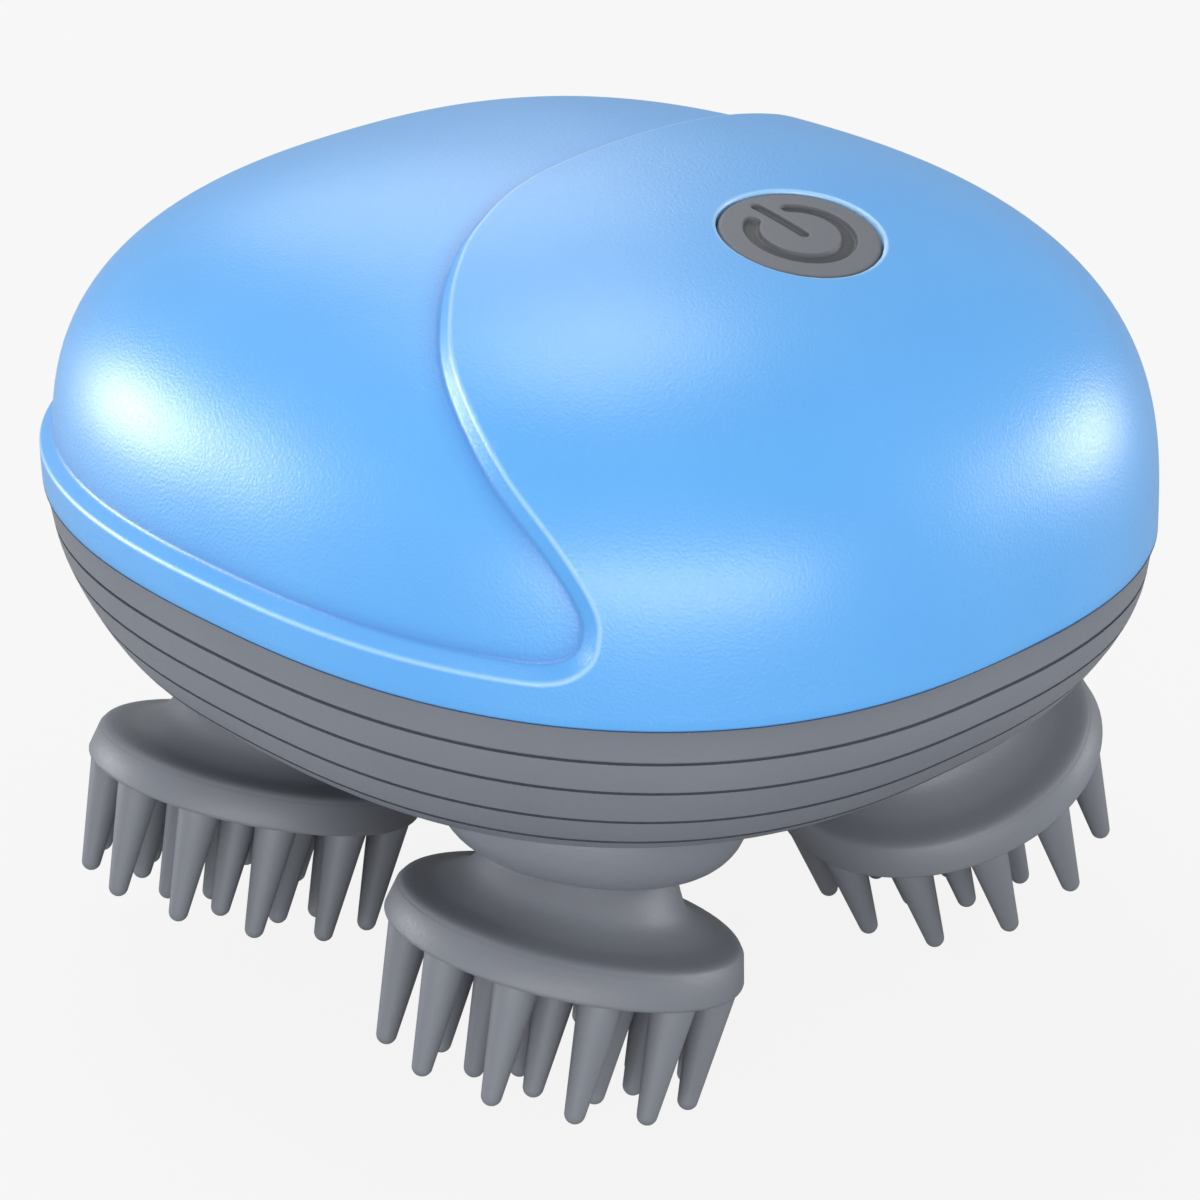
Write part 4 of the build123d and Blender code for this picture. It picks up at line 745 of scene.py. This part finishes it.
def symbol_distance(place):
    """Distance of a place on the button's face from the power symbol's edge, below 0 inside it."""
    half = radians(SYMBOL_OPENING / 2)
    if abs(atan2(place.y, -place.x)) > half:
        ring = abs(hypot(place.x, place.y) - SYMBOL_RADIUS)
    else:
        end_x, end_y = SYMBOL_RADIUS * cos(half), SYMBOL_RADIUS * sin(half)
        ring = hypot(place.x + end_x, abs(place.y) - end_y)
    low, high = SYMBOL_BAR[0] + SYMBOL_BAR_STROKE / 2, SYMBOL_BAR[1] - SYMBOL_BAR_STROKE / 2
    bar = hypot(place.x - min(max(place.x, low), high), place.y)
    return min(ring - SYMBOL_STROKE / 2, bar - SYMBOL_BAR_STROKE / 2)


def from_middle(place):
    """Distance of a place on the flat face from its middle."""
    return hypot(place.x, place.y)


def make_button():
    """The power button: a crowned face with an engraved symbol, over a flanged stem."""
    bm = bmesh.new()
    shade_layer = bm.verts.layers.float.new("foot")
    bmesh.ops.create_grid(bm, x_segments=CAP_CELLS, y_segments=CAP_CELLS, size=CAP_GRID)
    for field, cuts in ((from_middle, CAP_ROUND), (symbol_distance, SYMBOL_WALL)):
        for value, _ in cuts:
            cut_along(bm, field, value)
    beyond = [face for face in bm.faces if from_middle(face.calc_center_median()) > BUTTON_RADIUS]
    bmesh.ops.delete(bm, geom=beyond, context="FACES")
    for vert in bm.verts:
        distance = symbol_distance(vert.co)
        # Painted shade inside the engraved symbol
        vert[shade_layer] = SYMBOL_DARKNESS * blend_table(SYMBOL_SHADE, distance)
        inset = BUTTON_SINK + blend_table(SYMBOL_WALL, distance)
        inset += blend_table(CAP_ROUND, from_middle(vert.co))
        start = BUTTON_MIDDLE + BUTTON_ALONG * vert.co.x + BUTTON_ACROSS * vert.co.y
        vert.co = crown_hit(start - BUTTON_OUT * CAP_SEARCH, BUTTON_OUT, inset)
    loop = [edge for edge in bm.edges if edge.is_boundary]
    for radius, height in CAP_STEPS:
        ring = bmesh.ops.extrude_edge_only(bm, edges=loop)["geom"]
        for vert in only(bmesh.types.BMVert, ring):
            offset = vert.co - BUTTON_MIDDLE
            sideways = offset - BUTTON_OUT * offset.dot(BUTTON_OUT)
            vert.co = BUTTON_MIDDLE + sideways.normalized() * radius + BUTTON_OUT * height
        loop = [edge for edge in only(bmesh.types.BMEdge, ring) if edge.is_boundary]
    bmesh.ops.contextual_create(bm, geom=loop)
    new_piece("power_button_cap", bm, "button_plastic", "button", "power_button")


# ------------------------------------------------------- soft pieces
# Cells round a pad, a tooth and a screw plug, and along their arcs and flare
PAD_STEPS = 96
TOOTH_STEPS = 20
SCREW_PLUG_STEPS = 40
RIM_ARC = 5
FLARE_ARC = 8
EDGE_ARC = 3
TIP_ARC = 6
DISH_ARC = 4
TOOTH_HEIGHTS = (0.25, 0.5, 0.75)  # shares of a tooth's length where it has a ring


def turn_profile(bm, profile, steps):
    """Spins a half section of (radius, height) points about Z and closes it at the axis."""
    verts = [bm.verts.new((radius, 0, height)) for radius, height in profile]
    edges = [bm.edges.new(pair) for pair in zip(verts, verts[1:])]
    bmesh.ops.spin(bm, geom=verts + edges, cent=(0, 0, 0), axis=(0, 0, 1), dvec=(0, 0, 0),
                   angle=2 * pi, steps=steps, use_merge=True)
    bmesh.ops.remove_doubles(bm, verts=bm.verts, dist=TOUCHING)


def arc_points(middle, radius, first, last, steps):
    """Points of an arc in a half section, between two directions in degrees."""
    turns = [radians(first + (last - first) * number / steps) for number in range(steps + 1)]
    return [(middle[0] + radius * cos(turn), middle[1] + radius * sin(turn)) for turn in turns]


def pad_section():
    """The half section of a pad without its teeth, with the room for its core."""
    ridge_z = RIM_HEIGHT - RIM_ROUND
    flare = [(RIDGE_RADIUS, ridge_z)]
    flare += [(RIDGE_RADIUS - inward, ridge_z + upward) for inward, upward in FLARE]
    flare.append((NECK_RADIUS, NECK_START))
    line = [(0, 0)] + arc_points((RIM_RADIUS - RIM_ROUND, RIM_ROUND), RIM_ROUND, -90, -2, RIM_ARC)
    line += [tuple(point) for point in smooth_line(flare, FLARE_ARC)]
    neck_corner = (NECK_RADIUS - NECK_EDGE, NECK_TOP - NECK_EDGE)
    line += arc_points(neck_corner, NECK_EDGE, 0, 90, EDGE_ARC)
    line += [(CORE_HUB, NECK_TOP), (CORE_HUB, CORE_TOP), (CORE_RADIUS, CORE_TOP)]
    return line + [(CORE_RADIUS, CORE_FLOOR), (0, CORE_FLOOR)]


def tooth_section():
    """The half section of one tooth, which is sunk a little into the pad."""
    line = [(0, TOOTH_SINK), (TOOTH_ROOT, TOOTH_SINK), (TOOTH_ROOT, 0)]
    tip_z = TOOTH_TIP - TOOTH_LENGTH
    for share in TOOTH_HEIGHTS:
        line.append((TOOTH_ROOT + (TOOTH_TIP - TOOTH_ROOT) * share, tip_z * share))
    return line + arc_points((0, tip_z), TOOTH_TIP, 0, -90, TIP_ARC)[:-1] + [(0, -TOOTH_LENGTH)]


def make_pad(end_name, end, side_name, side):
    """A soft massage pad with its neck, flared top, rounded rim and three rings of teeth."""
    bm = bmesh.new()
    turn_profile(bm, pad_section(), PAD_STEPS)
    tooth = bmesh.new()
    turn_profile(tooth, tooth_section(), TOOTH_STEPS)
    mould = bpy.data.meshes.new("tooth_mould")
    tooth.to_mesh(mould)
    tooth.free()
    for radius, count, first in TOOTH_RINGS:
        for number in range(count):
            before = set(bm.verts)
            bm.from_mesh(mould)
            added = [vert for vert in bm.verts if vert not in before]
            placed = Matrix.Rotation(radians(first + 360 / count * number), 4, "Z")
            placed = placed @ Matrix.Translation((radius, 0, 0))
            bmesh.ops.transform(bm, matrix=placed, verts=added)
    bpy.data.meshes.remove(mould)
    head = Matrix.Translation((end * HEAD_X, side * HEAD_OFFSET, RIM_Z))
    head = head @ Matrix.Rotation(radians(side * HEAD_TILT), 4, "X")
    bmesh.ops.transform(bm, matrix=head, verts=bm.verts)
    prefix = side_name + "_" + end_name
    new_piece(prefix + "_soft_pad", bm, "pad_silicone", prefix + "_head", prefix + "_massage_pad")


def make_screw_plugs():
    """Soft dished plugs in the four screw holes of the underside."""
    bm = bmesh.new()
    low, high = UNDERSIDE_Z, UNDERSIDE_Z + SCREW_PLUG_LENGTH
    inner = SCREW_PLUG_RADIUS - SCREW_PLUG_ROUND
    section = [(radius, low + dish) for radius, dish in SCREW_PLUG_DISH]
    section += arc_points((inner, low + SCREW_PLUG_ROUND), SCREW_PLUG_ROUND, -90, 0, DISH_ARC)
    section += arc_points((inner, high - SCREW_PLUG_ROUND), SCREW_PLUG_ROUND, 0, 90, EDGE_ARC)
    section.append((0, high))
    for x, y in SCREW_PLUG_PLACES:
        before = set(bm.verts)
        turn_profile(bm, section, SCREW_PLUG_STEPS)
        added = [vert for vert in bm.verts if vert not in before]
        bmesh.ops.translate(bm, vec=(x, y, 0), verts=added)
    new_piece("soft_screw_plugs", bm, "seal_rubber", "housing", "screw_plugs")


def make_port_plug():
    """The soft plug over the charging port, with its edges eased."""
    bm = bmesh.new()
    bm.from_mesh(nodes["port_plug"].data)
    bmesh.ops.scale(bm, vec=(1 / MM, 1 / MM, 1 / MM), verts=bm.verts)
    bmesh.ops.remove_doubles(bm, verts=bm.verts, dist=10 * TOUCHING)
    bmesh.ops.dissolve_limit(bm, angle_limit=radians(FLAT_ANGLE), verts=bm.verts, edges=bm.edges)
    sharp = radians(SHARP_ANGLE)
    crisp = [edge for edge in bm.edges if edge.is_manifold and edge.calc_face_angle() > sharp]
    bmesh.ops.bevel(bm, geom=crisp, offset=PORT_PLUG_EDGE, offset_type="OFFSET", segments=2,
                    profile=0.5, affect="EDGES", material=-1, clamp_overlap=True)
    new_piece("soft_port_plug", bm, "pad_silicone", "port_plug", "port_plug")


dress_nodes()
make_cover()
make_button()
for side_name, side in (("front", -1), ("rear", 1)):
    for end_name, end in (("left", -1), ("right", 1)):
        make_pad(end_name, end, side_name, side)
make_screw_plugs()
make_port_plug()
set_camera()
set_world()
set_floor()
for name, turn, rise, distance, size, power in LAMPS:
    area_light(name, turn, rise, distance, size, power)

bpy.context.scene.view_settings.view_transform = "Standard"
